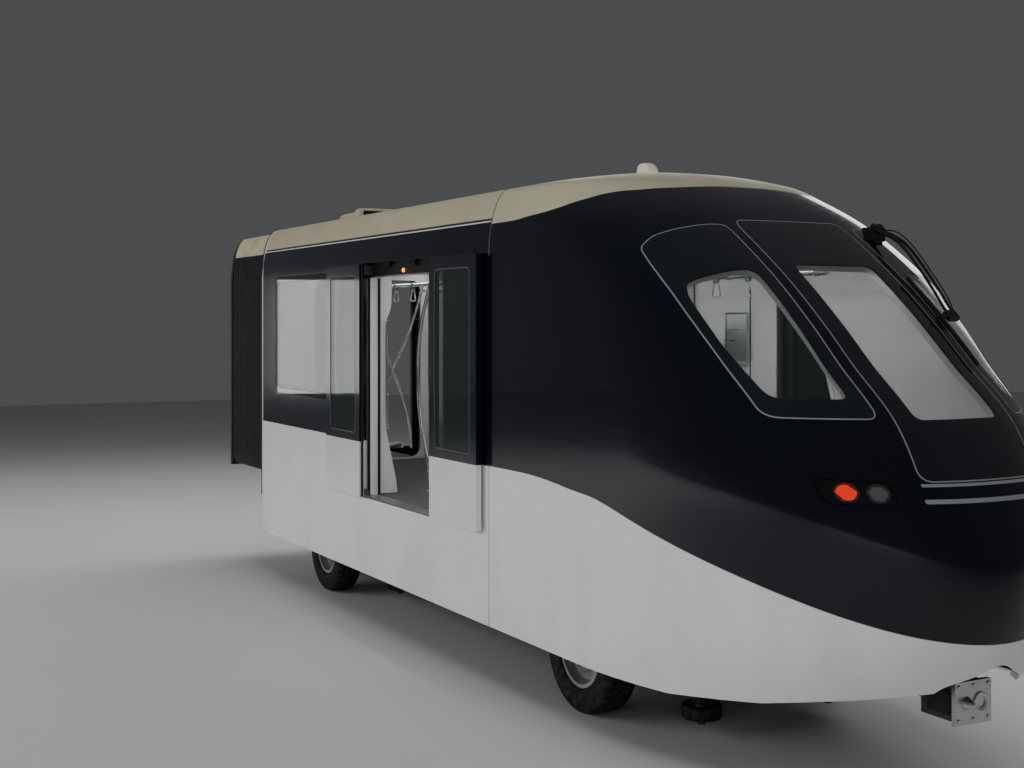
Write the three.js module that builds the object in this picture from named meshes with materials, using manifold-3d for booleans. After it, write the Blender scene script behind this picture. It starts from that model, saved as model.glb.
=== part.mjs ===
// End car of a rubber-tyred monorail train, in millimetres.
// +X points to the streamlined nose, +Y to the car's left side, +Z up from the running surface.
// The origin lies on the running surface, on the car's centreline, halfway along it.
// The body is hollow: floor, two side walls, roof, rear end wall and a three-part nose, with
// glazed openings, four door leaves, and a bellows gangway behind. The leaves on the -Y side
// stand open, outside the wall. Two steered single-axle bogies carry the car on four tyres,
// each guided by four horizontal wheels.
import * as THREE from "three";
import { mergeVertices } from "three/addons/utils/BufferGeometryUtils.js";
import Module from "manifold-3d";

const wasm = await Module();
wasm.setup();
const { Manifold, Mesh } = wasm;

// Driving dimensions of the body
const SEAT_GAP = 0.3; // between pieces that rest on each other
const HALF_WIDTH = 1200;
const WALL = 60;
const SEAM_X = 1400; // nose module meets the passenger module
const REAR_X = -3870;
const BELLOWS_END_X = -5085;
const SKIRT_BOTTOM = 430;
const FLOOR_TOP = 1100;
const FLOOR_BOTTOM = 1000;
const CEILING_Z = 3200;
const BELT_Z = 1585; // where the dark band starts, above the white panels

// Cross-section above the shoulder: a corner curve, then a shallow roof arc
const SHOULDER_Z = 3100;
const ROOF_EDGE_Z = 3350;
const KNEE = { y: 1040, z: 3588 };
const CROWN_Z = 3698;
const ROOF_RADIUS = (KNEE.y ** 2 + (CROWN_Z - KNEE.z) ** 2) / (2 * (CROWN_Z - KNEE.z));
const KNEE_SLOPE = KNEE.y / ROOF_RADIUS;
const CORNER = new THREE.CubicBezierCurve(
  new THREE.Vector2(HALF_WIDTH, SHOULDER_Z),
  new THREE.Vector2(HALF_WIDTH, SHOULDER_Z + 260),
  new THREE.Vector2(KNEE.y + 88, KNEE.z - 88 * KNEE_SLOPE),
  new THREE.Vector2(KNEE.y, KNEE.z),
).getPoints(8);

// Nose: each row gives where one level's outline in plan has its tip, how far back its round
// front reaches, and the power of the superellipse that the front follows
const NOSE_LEVELS = [
  // tip x, z, depth, power
  [SEAM_X, CROWN_Z, 1710, 2.8],
  [1850, 3687, 1705, 2.8],
  [2300, 3664, 1675, 2.8],
  [2680, 3566, 1590, 2.75],
  [3010, 3421, 1420, 2.75],
  [3324, 3237, 1200, 2.75],
  [3780, 2916, 1100, 2.75],
  [4140, 2621, 1260, 2.65],
  [4400, 2383, 1460, 2.6],
  [4780, 2050, 1690, 2.4],
  [5025, 1608, 1860, 2.2],
  [5085, 1180, 2000, 2.05],
  [5005, 775, 2070, 2.0],
  [4700, SKIRT_BOTTOM, 2100, 2.0],
];
const NOSE_TIP_X = Math.max(...NOSE_LEVELS.map(([x]) => x));
const NOSE_PROFILE = new THREE.SplineCurve(NOSE_LEVELS.map(([x, z]) => new THREE.Vector2(x, z)));
const NOSE_FRONT = new THREE.SplineCurve(
  NOSE_LEVELS.map(([, , depth, power]) => new THREE.Vector2(depth, power)),
);
const NOSE_ROWS = 24;
const NOSE_STEPS = 9; // facets from the side to the centreline

// Doors: one opening in each side, leaves of equal width
const DOOR = { centre: -213, width: 1660, bottom: 1092, top: 3130, frameBottom: 3010 };
const LEAF = { width: 826, thickness: 44, openHalfGap: 709, openStandoff: 22, bottom: 1098, top: 3124 };
const LEAF_WINDOW = { inset: 105, bottom: 1650, top: 3030, radius: 70 };
const GLASS = 16;
const PANE_GAP = 0.4;

// Bogies: one steered axle each
const BOGIES = [
  { name: "front", x: 2300 },
  { name: "rear", x: -2500 },
];
const TYRE = { inradius: 425, width: 250, bead: 254, sides: 24 };
const WHEEL_Y = 880;
const SPINDLE_RADIUS = 60;
const GUIDE = { x: 750, y: 520, radius: 130, z: 145, width: 90, pin: 25, sides: 20 };
const PIN_CLEARANCE = 0.4;

const material = (color, roughness, metalness = 0) =>
  new THREE.MeshStandardMaterial({ color, roughness, metalness });
const WHITE = material(0xdcdcd6, 0.35);
const BLACK = material(0x0b0e16, 0.12);
const GLAZING = material(0x1a2226, 0.05);
const RUBBER = material(0x17181a, 0.85);
const STEEL = material(0x55585c, 0.45, 0.8);
const ALLOY = material(0xb9bcbe, 0.35, 0.9);
const LINING = material(0xe6e5e0, 0.5);
const FLOORING = material(0x5c5f63, 0.7);
const SEATING = material(0xc9ccce, 0.45);
const LENS = material(0xe8ecef, 0.08);

// Turns a closed geometry into a solid, with its shared corners merged
function solid(geometry) {
  const bare = new THREE.BufferGeometry();
  bare.setAttribute("position", geometry.getAttribute("position"));
  if (geometry.index) bare.setIndex(geometry.index);
  const merged = mergeVertices(bare, 1e-3);
  return new Manifold(
    new Mesh({
      numProp: 3,
      vertProperties: merged.attributes.position.array,
      triVerts: new Uint32Array(merged.index.array),
    }),
  );
}

const union = (...solids) => solids.reduce((whole, next) => whole.add(next));

function box([x0, x1], [y0, y1], [z0, z1]) {
  const geometry = new THREE.BoxGeometry(x1 - x0, y1 - y0, z1 - z0);
  geometry.translate((x0 + x1) / 2, (y0 + y1) / 2, (z0 + z1) / 2);
  return solid(geometry);
}

// An outline pushed straight through: along x its points are (y, z), along y (x, z), along z (x, y)
function prism(axis, shape, [from, to], curveSegments = 4) {
  const geometry = new THREE.ExtrudeGeometry(shape, {
    depth: to - from,
    bevelEnabled: false,
    curveSegments,
  });
  geometry.translate(0, 0, from);
  const turn = {
    x: new THREE.Matrix4().set(0, 0, 1, 0, 1, 0, 0, 0, 0, 1, 0, 0, 0, 0, 0, 1),
    y: new THREE.Matrix4().set(1, 0, 0, 0, 0, 0, -1, 0, 0, 1, 0, 0, 0, 0, 0, 1),
    z: new THREE.Matrix4(),
  }[axis];
  if (axis === "y") geometry.translate(0, 0, -(from + to)); // the turn below swaps its ends
  geometry.applyMatrix4(turn);
  return solid(geometry);
}

const outline = (points) => new THREE.Shape(points.map(([a, b]) => new THREE.Vector2(a, b)));

// A polygon whose corners are rounded to the given radius
function roundedOutline(points, radius) {
  const shape = new THREE.Shape();
  points.forEach((point, i) => {
    const corner = new THREE.Vector2(...point);
    const before = new THREE.Vector2(...points.at(i - 1)).sub(corner).setLength(radius);
    const after = new THREE.Vector2(...points[(i + 1) % points.length]).sub(corner).setLength(radius);
    const start = corner.clone().add(before);
    const end = corner.clone().add(after);
    if (i === 0) shape.moveTo(start.x, start.y);
    else shape.lineTo(start.x, start.y);
    shape.quadraticCurveTo(corner.x, corner.y, end.x, end.y);
  });
  return shape;
}

const rectangle = ([a0, a1], [b0, b1], radius) =>
  roundedOutline([[a0, b0], [a1, b0], [a1, b1], [a0, b1]], radius);

// A cylinder round an axis, from one end to the other, at a place across it
function cylinder(axis, radius, [from, to], [x, y, z], sides = 16) {
  const geometry = new THREE.CylinderGeometry(radius, radius, to - from, sides);
  geometry.rotateY(Math.PI / sides);
  geometry.translate(0, (from + to) / 2, 0);
  if (axis === "x") geometry.rotateZ(-Math.PI / 2);
  if (axis === "z") geometry.rotateX(Math.PI / 2);
  geometry.translate(x, y, z);
  return solid(geometry);
}

// A ring turned from a closed (radius, along) profile, with a flat facet downwards when along y
function turned(axis, profile, sides, [x, y, z]) {
  const closed = [...profile, profile[0]].map(([r, h]) => new THREE.Vector2(r, h));
  const geometry = new THREE.LatheGeometry(closed, sides);
  geometry.rotateY(Math.PI / sides);
  if (axis === "z") geometry.rotateX(Math.PI / 2);
  geometry.translate(x, y, z);
  return solid(geometry);
}

// A round bar along a smooth path
function bar(points, radius, steps, sides = 8) {
  const path = new THREE.CatmullRomCurve3(points.map((p) => new THREE.Vector3(...p)));
  const section = new THREE.Shape().absarc(0, 0, radius, 0, 2 * Math.PI);
  return solid(
    new THREE.ExtrudeGeometry(section, { extrudePath: path, steps, curveSegments: sides / 2 }),
  );
}

// Skin between closed rings of points that have the same number of points, capped at both ends
function loft(rings) {
  const positions = rings.flat(2);
  const count = rings[0].length;
  const faces = [];
  for (let row = 0; row + 1 < rings.length; row++)
    for (let i = 0; i < count; i++) {
      const [a, b] = [row * count + i, row * count + ((i + 1) % count)];
      faces.push(a, b, b + count, a, b + count, a + count);
    }
  const cap = THREE.ShapeUtils.triangulateShape(
    flatten(rings[0]),
    [],
  );
  for (const [a, b, c] of cap) faces.push(a, c, b);
  const last = (rings.length - 1) * count;
  for (const [a, b, c] of THREE.ShapeUtils.triangulateShape(flatten(rings.at(-1)), []))
    faces.push(last + a, last + b, last + c);
  const geometry = new THREE.BufferGeometry();
  geometry.setAttribute("position", new THREE.Float32BufferAttribute(positions, 3));
  geometry.setIndex(faces);
  return solid(geometry);
}

// A ring's points in its own plane, for capping: level rings in x and y, upright rings in y and z
function flatten(ring) {
  const level = ring.every(([, , z]) => z === ring[0][2]);
  return ring.map(([x, y, z]) => (level ? new THREE.Vector2(x, y) : new THREE.Vector2(y, z)));
}

// Half the body's width at a height
function halfWidth(z) {
  if (z <= SHOULDER_Z) return HALF_WIDTH;
  if (z >= KNEE.z) {
    const drop = Math.max(CROWN_Z - z, 0.5);
    return Math.sqrt(drop * (2 * ROOF_RADIUS - drop));
  }
  const above = CORNER.findIndex((p) => p.y > z);
  const [low, high] = [CORNER[above - 1], CORNER[above]];
  return low.x + ((high.x - low.x) * (z - low.y)) / (high.y - low.y);
}

// Section through the passenger module from one roof edge to the other, as (y, z) points
function roofLine(inset) {
  const side = [
    [halfWidth(ROOF_EDGE_Z), ROOF_EDGE_Z],
    ...CORNER.filter((p) => p.y > ROOF_EDGE_Z + 20).map((p) => [p.x, p.y]),
    ...[0.75, 0.5, 0.25].map((share) => {
      const y = KNEE.y * share;
      return [y, CROWN_Z - ROOF_RADIUS + Math.sqrt(ROOF_RADIUS ** 2 - y ** 2)];
    }),
    [0, CROWN_Z],
  ].map(([y, z]) => [Math.max(y - inset, 0), z - inset]);
  const other = side.slice(0, -1).reverse().map(([y, z]) => [-y, z]);
  return [...side, ...other];
}

// The nose as a closed solid, set in from the outside by an inset. Each level is an outline in
// plan: straight sides from the seam, then a superellipse round the front.
function noseSolid(inset, back = SEAM_X, openBelow = false) {
  const rings = [];
  for (let row = 0; row <= NOSE_ROWS; row++) {
    const share = 0.012 + (1 - 0.012) * (row / NOSE_ROWS);
    const point = NOSE_PROFILE.getPoint(share);
    const along = NOSE_PROFILE.getTangent(share);
    const tip = point.x - inset * -along.y;
    const z = point.y - inset * along.x;
    const half = inset ? Math.max(halfWidth(z + inset) - inset, 20) : halfWidth(z);
    const { x: fullDepth, y: power } = NOSE_FRONT.getPoint(share);
    const depth = Math.min(fullDepth - inset, tip - back - 5);
    const ring = [[back, -half, z]];
    for (let i = -NOSE_STEPS; i <= NOSE_STEPS; i++) {
      const angle = (Math.PI / 2) * (i / NOSE_STEPS);
      const reach = Math.max(Math.cos(angle), 0) ** (2 / power);
      const across = Math.sign(angle) * Math.abs(Math.sin(angle)) ** (2 / power);
      ring.push([tip - depth + depth * reach, half * across, z]);
    }
    ring.push([back, half, z]);
    rings.push(ring);
  }
  const shell = loft(rings.reverse());
  if (!openBelow) return shell;
  const lowest = rings[0].map(([x, y]) => [x, y]);
  return union(shell, prism("z", outline(lowest), [0, rings[0][0][2] + 1]));
}

const car = new THREE.Group();

function piece(name, shape, look, mirrored = false) {
  const made = mirrored ? shape.mirror([0, 1, 0]) : shape;
  const { vertProperties, triVerts } = made.getMesh();
  const geometry = new THREE.BufferGeometry();
  geometry.setAttribute("position", new THREE.BufferAttribute(vertProperties, 3));
  geometry.setIndex(new THREE.BufferAttribute(triVerts, 1));
  geometry.computeVertexNormals();
  const mesh = new THREE.Mesh(geometry, look);
  mesh.name = name;
  car.add(mesh);
}

// The same piece on the -Y side (right) and the +Y side (left); it is drawn on the +Y side
function pair(name, shape, look) {
  piece(`${name}_right`, shape, look, true);
  piece(`${name}_left`, shape, look);
}

// Side walls: dark glazed band above white panels, with a doorway and two windows
const SIDE_WINDOWS = [
  // name, back x, front x, and radius of the corners
  { name: "rear", x: [-3400, -1150], radius: 70 },
];
const WINDOW_Z = [1900, 3075];
const wallSection = outline([
  [HALF_WIDTH - WALL, SKIRT_BOTTOM],
  [HALF_WIDTH, SKIRT_BOTTOM],
  [HALF_WIDTH, SHOULDER_Z],
  [halfWidth(3230), 3230],
  [halfWidth(ROOF_EDGE_Z), ROOF_EDGE_Z],
  [HALF_WIDTH - WALL, ROOF_EDGE_Z],
]);
const doorway = [DOOR.centre - DOOR.width / 2, DOOR.centre + DOOR.width / 2];
const throughWall = [HALF_WIDTH - WALL - 50, HALF_WIDTH + 50];
let sideWall = prism("x", wallSection, [REAR_X + WALL + SEAT_GAP, SEAM_X]).subtract(
  box(doorway, throughWall, [DOOR.bottom, DOOR.top]),
);
for (const { name, x, radius } of SIDE_WINDOWS) {
  const hole = prism("y", rectangle(x, WINDOW_Z, radius), throughWall);
  sideWall = sideWall.subtract(hole);
  const paneX = [x[0] + PANE_GAP, x[1] - PANE_GAP];
  const paneZ = [WINDOW_Z[0] + PANE_GAP, WINDOW_Z[1] - PANE_GAP];
  const pane = prism("y", rectangle(paneX, paneZ, radius), [HALF_WIDTH - 4 - GLASS, HALF_WIDTH - 4]);
  pair(`${name}_side_window`, pane, GLAZING);
}
pair("side_wall", sideWall, BLACK);

// Door leaves: shut on the left, parked outside the wall on the right. Each hangs on a carrier
// that reaches in to the operator's box, and is guided by an arm at the foot of the post.
const CARRIER = { x: [505, 580], z: [3030, 3110] };
const FOOT_ARM = { x: [590, 612], z: [1112, 1150] };
function doorLeaf([x0, x1], outerY, direction) {
  const depth = [outerY - LEAF.thickness, outerY];
  const { inset, bottom, top, radius } = LEAF_WINDOW;
  const light = [x0 + inset, x1 - inset];
  const arm = ({ x, z }) => {
    const reach = x.map((d) => (direction > 0 ? d : 2 * DOOR.centre - d)).sort((a, b) => a - b);
    return box(reach, [HALF_WIDTH - WALL, depth[0] + 1], z);
  };
  const leaf = union(
    box([x0, x1], depth, [LEAF.bottom, LEAF.top]).subtract(
      prism("y", rectangle(light, [bottom, top], radius), [depth[0] - 50, depth[1] + 50]),
    ),
    arm(CARRIER),
    arm(FOOT_ARM),
  );
  const pane = prism(
    "y",
    rectangle([light[0] + PANE_GAP, light[1] - PANE_GAP], [bottom + PANE_GAP, top - PANE_GAP], radius),
    [outerY - 4 - GLASS, outerY - 4],
  );
  return { leaf, pane };
}
const LEAVES = [
  { end: "front", direction: 1 },
  { end: "rear", direction: -1 },
];
const shutGap = (DOOR.width - 2 * LEAF.width) / 4;
for (const { end, direction } of LEAVES) {
  const span = (near) =>
    [near, near + LEAF.width].map((d) => DOOR.centre + direction * d).sort((a, b) => a - b);
  const shut = doorLeaf(span(shutGap), HALF_WIDTH, direction);
  piece(`door_leaf_left_${end}`, shut.leaf, BLACK);
  piece(`door_glass_left_${end}`, shut.pane, GLAZING);
  const openY = HALF_WIDTH + LEAF.openStandoff + LEAF.thickness;
  const open = doorLeaf(span(LEAF.openHalfGap), openY, direction);
  piece(`door_leaf_right_${end}`, open.leaf, BLACK, true);
  piece(`door_glass_right_${end}`, open.pane, GLAZING, true);
}

// Door frames: white posts and the operator's box over them, against the wall's inner face
const FRAME = { post: 70, depth: 78 };
const frameY = [HALF_WIDTH - WALL - SEAT_GAP - FRAME.depth, HALF_WIDTH - WALL - SEAT_GAP];
const frameX = [doorway[0] - FRAME.post + 30, doorway[1] + FRAME.post - 30];
const doorFrame = box(frameX, frameY, [FLOOR_TOP + SEAT_GAP, CEILING_Z - SEAT_GAP]).subtract(
  box([doorway[0] + 30, doorway[1] - 30], [frameY[0] - 50, frameY[1] + 50], [0, DOOR.frameBottom]),
);
pair("door_frame", doorFrame, LINING);

// Roof: the whole depth from ceiling to skin, resting on the side walls
const roofSkin = roofLine(0);
const roofRest = ROOF_EDGE_Z + SEAT_GAP;
roofSkin[0][1] = roofRest;
roofSkin.at(-1)[1] = roofRest;
const ceilingHalf = HALF_WIDTH - WALL - SEAT_GAP;
const roof = prism(
  "x",
  outline([
    ...roofSkin,
    [-ceilingHalf, roofRest],
    [-ceilingHalf, CEILING_Z],
    [ceilingHalf, CEILING_Z],
    [ceilingHalf, roofRest],
  ]),
  [REAR_X + WALL + SEAT_GAP, SEAM_X],
);
piece("roof", roof, WHITE);

// Rear end wall, with the gangway opening
const GANGWAY = { half: 620, bottom: 1124, top: 3080, radius: 120 };
const endSection = outline([
  [-HALF_WIDTH, 800],
  [HALF_WIDTH, 800],
  [HALF_WIDTH, SHOULDER_Z],
  ...roofLine(0),
  [-HALF_WIDTH, SHOULDER_Z],
]);
const gangwayHole = prism(
  "x",
  rectangle([-GANGWAY.half, GANGWAY.half], [GANGWAY.bottom, GANGWAY.top], GANGWAY.radius),
  [REAR_X - 50, REAR_X + WALL + 50],
);
piece("rear_end_wall", prism("x", endSection, [REAR_X, REAR_X + WALL]).subtract(gangwayHole), BLACK);

// Bellows: a folded wall in the body's section, set in from it and waved along its length
const BELLOWS = { inset: 32, bottom: 1010, folds: 11, foldDepth: 70, cloth: 36 };
const FRAME_LENGTH = 60;
const BELLOWS_HALF = HALF_WIDTH - BELLOWS.inset;
function bellowsOutline(inset) {
  const half = BELLOWS_HALF - inset;
  return [
    [-half, BELLOWS.bottom + inset],
    [half, BELLOWS.bottom + inset],
    [half, SHOULDER_Z],
    ...roofLine(BELLOWS.inset + inset),
    [-half, SHOULDER_Z],
  ];
}
const bellowsFrom = BELLOWS_END_X + FRAME_LENGTH + SEAT_GAP;
const bellowsTo = REAR_X - SEAT_GAP;
function foldedSolid(extra, overrun) {
  const rings = [];
  for (let i = 0; i <= 2 * BELLOWS.folds; i++) {
    const atEnd = i === 0 ? -overrun : i === 2 * BELLOWS.folds ? overrun : 0;
    const x = bellowsFrom + ((bellowsTo - bellowsFrom) * i) / (2 * BELLOWS.folds) + atEnd;
    const inset = extra + (i % 2 ? 0 : BELLOWS.foldDepth);
    rings.push(bellowsOutline(inset).map(([y, z]) => [x, y, z]));
  }
  return loft(rings);
}
piece("gangway_bellows", foldedSolid(0, 0).subtract(foldedSolid(BELLOWS.cloth, 5)), RUBBER);

const FRAME_BORDER = 112;
const endFrame = prism("x", outline(bellowsOutline(0)), [BELLOWS_END_X, BELLOWS_END_X + FRAME_LENGTH]).subtract(
  prism("x", outline(bellowsOutline(FRAME_BORDER)), [BELLOWS_END_X - 50, BELLOWS_END_X + FRAME_LENGTH + 50]),
);
piece("gangway_end_frame", endFrame, STEEL);

// Bridge plate: the gangway's floor, on the end frame's sill and the end wall's sill
const bridge = box(
  [BELLOWS_END_X, REAR_X + WALL - 1],
  [-GANGWAY.half + GANGWAY.radius + 10, GANGWAY.half - GANGWAY.radius - 10],
  [GANGWAY.bottom + SEAT_GAP, GANGWAY.bottom + 18],
);
piece("gangway_floor", bridge, ALLOY);

// Nose shell, cut into a white roof tongue, a dark mask and a white lower skirt
const noseBack = SEAM_X + SEAT_GAP;
const noseOuter = noseSolid(0, noseBack);
const noseInner = noseSolid(WALL, noseBack - 60, true);
const noseShell = noseOuter.subtract(noseInner);
const CUT_Y = [-1400, 1400];

const tongueEdge = new THREE.SplineCurve(
  [
    [SEAM_X - 100, 1180],
    [1838, 1177],
    [2180, 1153],
    [2382, 1070],
    [2512, 948],
    [2692, 714],
    [2765, 475],
    [2776, 0],
  ].map(([x, y]) => new THREE.Vector2(x, y)),
)
  .getPoints(18)
  .map(({ x, y }) => [x, y]);
const tongue = (gap) =>
  prism(
    "z",
    outline([
      ...tongueEdge.map(([x, y]) => [x + gap, y ? y + gap : y]),
      ...tongueEdge.slice(0, -1).reverse().map(([x, y]) => [x + gap, -y - gap]),
    ]),
    [3280, 3800],
  );
piece("cab_roof", noseShell.intersect(tongue(0)), WHITE);

const beltLine = new THREE.SplineCurve(
  [
    [SEAM_X - 200, BELT_Z],
    [2000, BELT_Z],
    [2562, 1540],
    [3000, 1488],
    [4075, 1229],
    [4927, 967],
    [NOSE_TIP_X + 100, 890],
  ].map(([x, z]) => new THREE.Vector2(x, z)),
)
  .getPoints(12)
  .map(({ x, y }) => [x, y]);
const belowBelt = (gap) =>
  prism(
    "y",
    outline([
      [SEAM_X - 200, 0],
      [5400, 0],
      ...beltLine.toReversed().map(([x, z]) => [x, z + gap]),
    ]),
    CUT_Y,
  );
// The skirt's lower edge sweeps up towards the chin, and arches over the coupler
const underChin = prism(
  "y",
  outline([
    [3500, SKIRT_BOTTOM - 50],
    [3500, SKIRT_BOTTOM],
    [4100, 490],
    [4600, 590],
    [4900, 660],
    [5300, 700],
    [5300, 380],
  ]),
  CUT_Y,
);
const archSide = [
  [320, 380],
  [310, 680],
  [240, 705],
  [135, 735],
  [60, 785],
];
const couplerArch = prism(
  "x",
  outline([...archSide, [0, 820], ...archSide.toReversed().map(([y, z]) => [-y, z])]),
  [4300, 5200],
);
const skirt = noseShell.intersect(belowBelt(0)).subtract(underChin).subtract(couplerArch);
piece("nose_skirt", skirt, WHITE);

// Openings in the mask, all seen from the front: outlines in (y, z), with a corner radius
const NOSE_PANES = [
  {
    name: "windscreen",
    sides: ["centre"],
    points: [[-435, 1780], [435, 1780], [435, 3270], [-435, 3270]],
    radius: 70,
  },
  {
    name: "corner_window",
    sides: ["right", "left"],
    points: [[505, 2100], [950, 2100], [1078, 2920], [1064, 3105], [830, 3212], [505, 3242]],
    radius: 60,
  },
];
const LAMP_POINTS = [[555, 1660], [830, 1660], [865, 1790], [570, 1790]];
const NOSE_CUT_X = [2700, 5300];
const noseHole = (points, radius, inset, side) => {
  const centre = points.reduce(([a, b], [y, z]) => [a + y / points.length, b + z / points.length], [0, 0]);
  const shrunk = points.map(([y, z]) => [
    y - Math.sign(y - centre[0]) * inset,
    z - Math.sign(z - centre[1]) * inset,
  ]);
  const cut = prism("x", roundedOutline(shrunk, radius), NOSE_CUT_X);
  return side === "right" ? cut.mirror([0, 1, 0]) : cut;
};
const paneSkin = noseOuter.subtract(noseSolid(GLASS, noseBack - 60));
let mask = noseShell.subtract(tongue(SEAT_GAP)).subtract(belowBelt(SEAT_GAP));
for (const { name, sides, points, radius } of NOSE_PANES)
  for (const side of sides) {
    mask = mask.subtract(noseHole(points, radius, 0, side));
    const pane = paneSkin.intersect(noseHole(points, radius, PANE_GAP, side));
    piece(side === "centre" ? name : `${name}_${side}`, pane, GLAZING);
  }
for (const side of ["right", "left"]) {
  mask = mask.subtract(noseHole(LAMP_POINTS, 30, 0, side));
  piece(`lamp_cluster_${side}`, noseShell.intersect(noseHole(LAMP_POINTS, 30, PANE_GAP, side)), LENS);
}
piece("cab_mask", mask, BLACK);

// Floor: deck with the nose's rounded front, two sole bars and cross bearers below it
const deckHalf = HALF_WIDTH - WALL - SEAT_GAP;
const deck = union(
  box([REAR_X + WALL + SEAT_GAP, SEAM_X + 50], [-deckHalf, deckHalf], [FLOOR_BOTTOM, FLOOR_TOP]),
  noseSolid(WALL + 8, SEAM_X - 60).intersect(
    box([SEAM_X - 60, NOSE_TIP_X], [-deckHalf, deckHalf], [FLOOR_BOTTOM, FLOOR_TOP]),
  ),
);
const SOLE_BAR = { y: [380, 470], bottom: 880, x: [-3780, 3900] };
const BEARERS = [
  // x, half length
  [-3700, 1080],
  [-1500, 1080],
  [1250, 1080],
  [3700, 1000],
];
const bogieWell = (x) => box([x - 420, x + 420], [-700, 700], [SOLE_BAR.bottom - 50, FLOOR_BOTTOM - 1]);
let ribs = union(
  ...[1, -1].map((side) =>
    box(SOLE_BAR.x, SOLE_BAR.y.map((y) => y * side).sort((a, b) => a - b), [SOLE_BAR.bottom, FLOOR_BOTTOM + 1]),
  ),
  ...BEARERS.map(([x, half]) =>
    box([x - 45, x + 45], [-half, half], [SOLE_BAR.bottom, FLOOR_BOTTOM + 1]),
  ),
);
for (const { x } of BOGIES) ribs = ribs.subtract(bogieWell(x));
piece("underframe", union(deck, ribs), FLOORING);

// Equipment under the floor, between the bogies
const EQUIPMENT = { x: [-1400, 1180], y: 1020, z: [470, 850], spine: 120 };
const equipment = union(
  ...[1, -1].map((side) =>
    box(EQUIPMENT.x, [EQUIPMENT.spine, EQUIPMENT.y].map((y) => y * side).sort((a, b) => a - b), EQUIPMENT.z),
  ),
  box([EQUIPMENT.x[0] + 200, EQUIPMENT.x[1] - 200], [-EQUIPMENT.spine - 1, EQUIPMENT.spine + 1], [640, 850]),
  ...[-1000, 800].map((x) =>
    box([x - 50, x + 50], [-EQUIPMENT.y + 40, EQUIPMENT.y - 40], [EQUIPMENT.z[1] - 1, SOLE_BAR.bottom - SEAT_GAP]),
  ),
);
piece("equipment_box", equipment, STEEL);

// Seats: a bench along each rear window, four shells on one beam
const BENCH = { x: [-3680, -1240], back: HALF_WIDTH - WALL - SEAT_GAP, depth: 430, top: 1550, high: 1990 };
const SEAT_COUNT = 5;
const seatPitch = (BENCH.x[1] - BENCH.x[0]) / SEAT_COUNT;
const seatSection = (inset) =>
  outline([
    [BENCH.back - inset, 1340],
    [BENCH.back - 300, 1400],
    [BENCH.back - BENCH.depth, 1505],
    [BENCH.back - BENCH.depth + 15, 1545],
    [BENCH.back - 240, 1515],
    [BENCH.back - 110, 1560],
    [BENCH.back - 60, 1700],
    [BENCH.back - 45, BENCH.high],
    [BENCH.back - inset, BENCH.high],
  ]);
const beam = box(BENCH.x, [BENCH.back - 200, BENCH.back], [FLOOR_TOP + SEAT_GAP, 1400]);
const shells = [];
for (let i = 0; i < SEAT_COUNT; i++) {
  const start = BENCH.x[0] + i * seatPitch;
  shells.push(prism("x", seatSection(0), [start + 8, start + seatPitch - 8]));
}
pair("bench", union(beam, ...shells), SEATING);

// Grab rails: an overhead rail on hangers on each side, with posts down to the floor
const RAIL = { y: 560, z: 2960, radius: 17, x: [-3600, 3000] };
const HANGERS_X = [-3400, -2300, -1000, 600, 1900, 2900];
const railTop = CEILING_Z - SEAT_GAP;
const POSTS_X = [-1010, 590];
const upright = (x, y, from, to) => cylinder("z", RAIL.radius, [from, to], [x, y, 0], 6);
const sweep = (x, lean) =>
  bar(
    [
      [x, RAIL.y, FLOOR_TOP + 190],
      [x + lean * 0.75, RAIL.y, FLOOR_TOP + 620],
      [x + lean, RAIL.y, FLOOR_TOP + 1100],
      [x + lean * 0.7, RAIL.y, FLOOR_TOP + 1500],
      [x, RAIL.y, RAIL.z - 20],
    ],
    RAIL.radius,
    8,
    6,
  );
const grabRail = union(
  cylinder("x", RAIL.radius, RAIL.x, [0, RAIL.y, RAIL.z], 6),
  ...HANGERS_X.map((x) => upright(x, RAIL.y, RAIL.z, railTop)),
  ...POSTS_X.map((x) => upright(x, RAIL.y, FLOOR_TOP + SEAT_GAP, RAIL.z)),
  sweep(POSTS_X[0], -260),
  sweep(POSTS_X[1], 260),
);
pair("grab_rail", grabRail, ALLOY);

// Console below the windscreen, shaped to the nose's inside
const consoleSide = outline([
  [3980, FLOOR_TOP + SEAT_GAP],
  [5200, FLOOR_TOP + SEAT_GAP],
  [5200, 1700],
  [4480, 1840],
  [4180, 1800],
  [4040, 1700],
]);
const consoleBody = noseSolid(WALL + 12, SEAM_X).intersect(prism("y", consoleSide, CUT_Y));
piece("console", consoleBody, LINING);

// Roof equipment
const AIR_UNIT = { x: [-3450, -2880], half: 500, top: 3786, chamfer: 60 };
const airUnit = prism(
  "x",
  outline([
    [-AIR_UNIT.half, 3500],
    [AIR_UNIT.half, 3500],
    [AIR_UNIT.half, AIR_UNIT.top - AIR_UNIT.chamfer],
    [AIR_UNIT.half - AIR_UNIT.chamfer, AIR_UNIT.top],
    [-AIR_UNIT.half + AIR_UNIT.chamfer, AIR_UNIT.top],
    [-AIR_UNIT.half, AIR_UNIT.top - AIR_UNIT.chamfer],
  ]),
  AIR_UNIT.x,
).subtract(prism("x", outline([[-1400, 3000], [1400, 3000], ...lifted(roofLine(0), 0.4)]), [-4000, 2000]));
piece("air_conditioner", airUnit, WHITE);

function lifted(points, rise) {
  return points.map(([y, z]) => [y * 1.0005, z + rise]);
}

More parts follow.
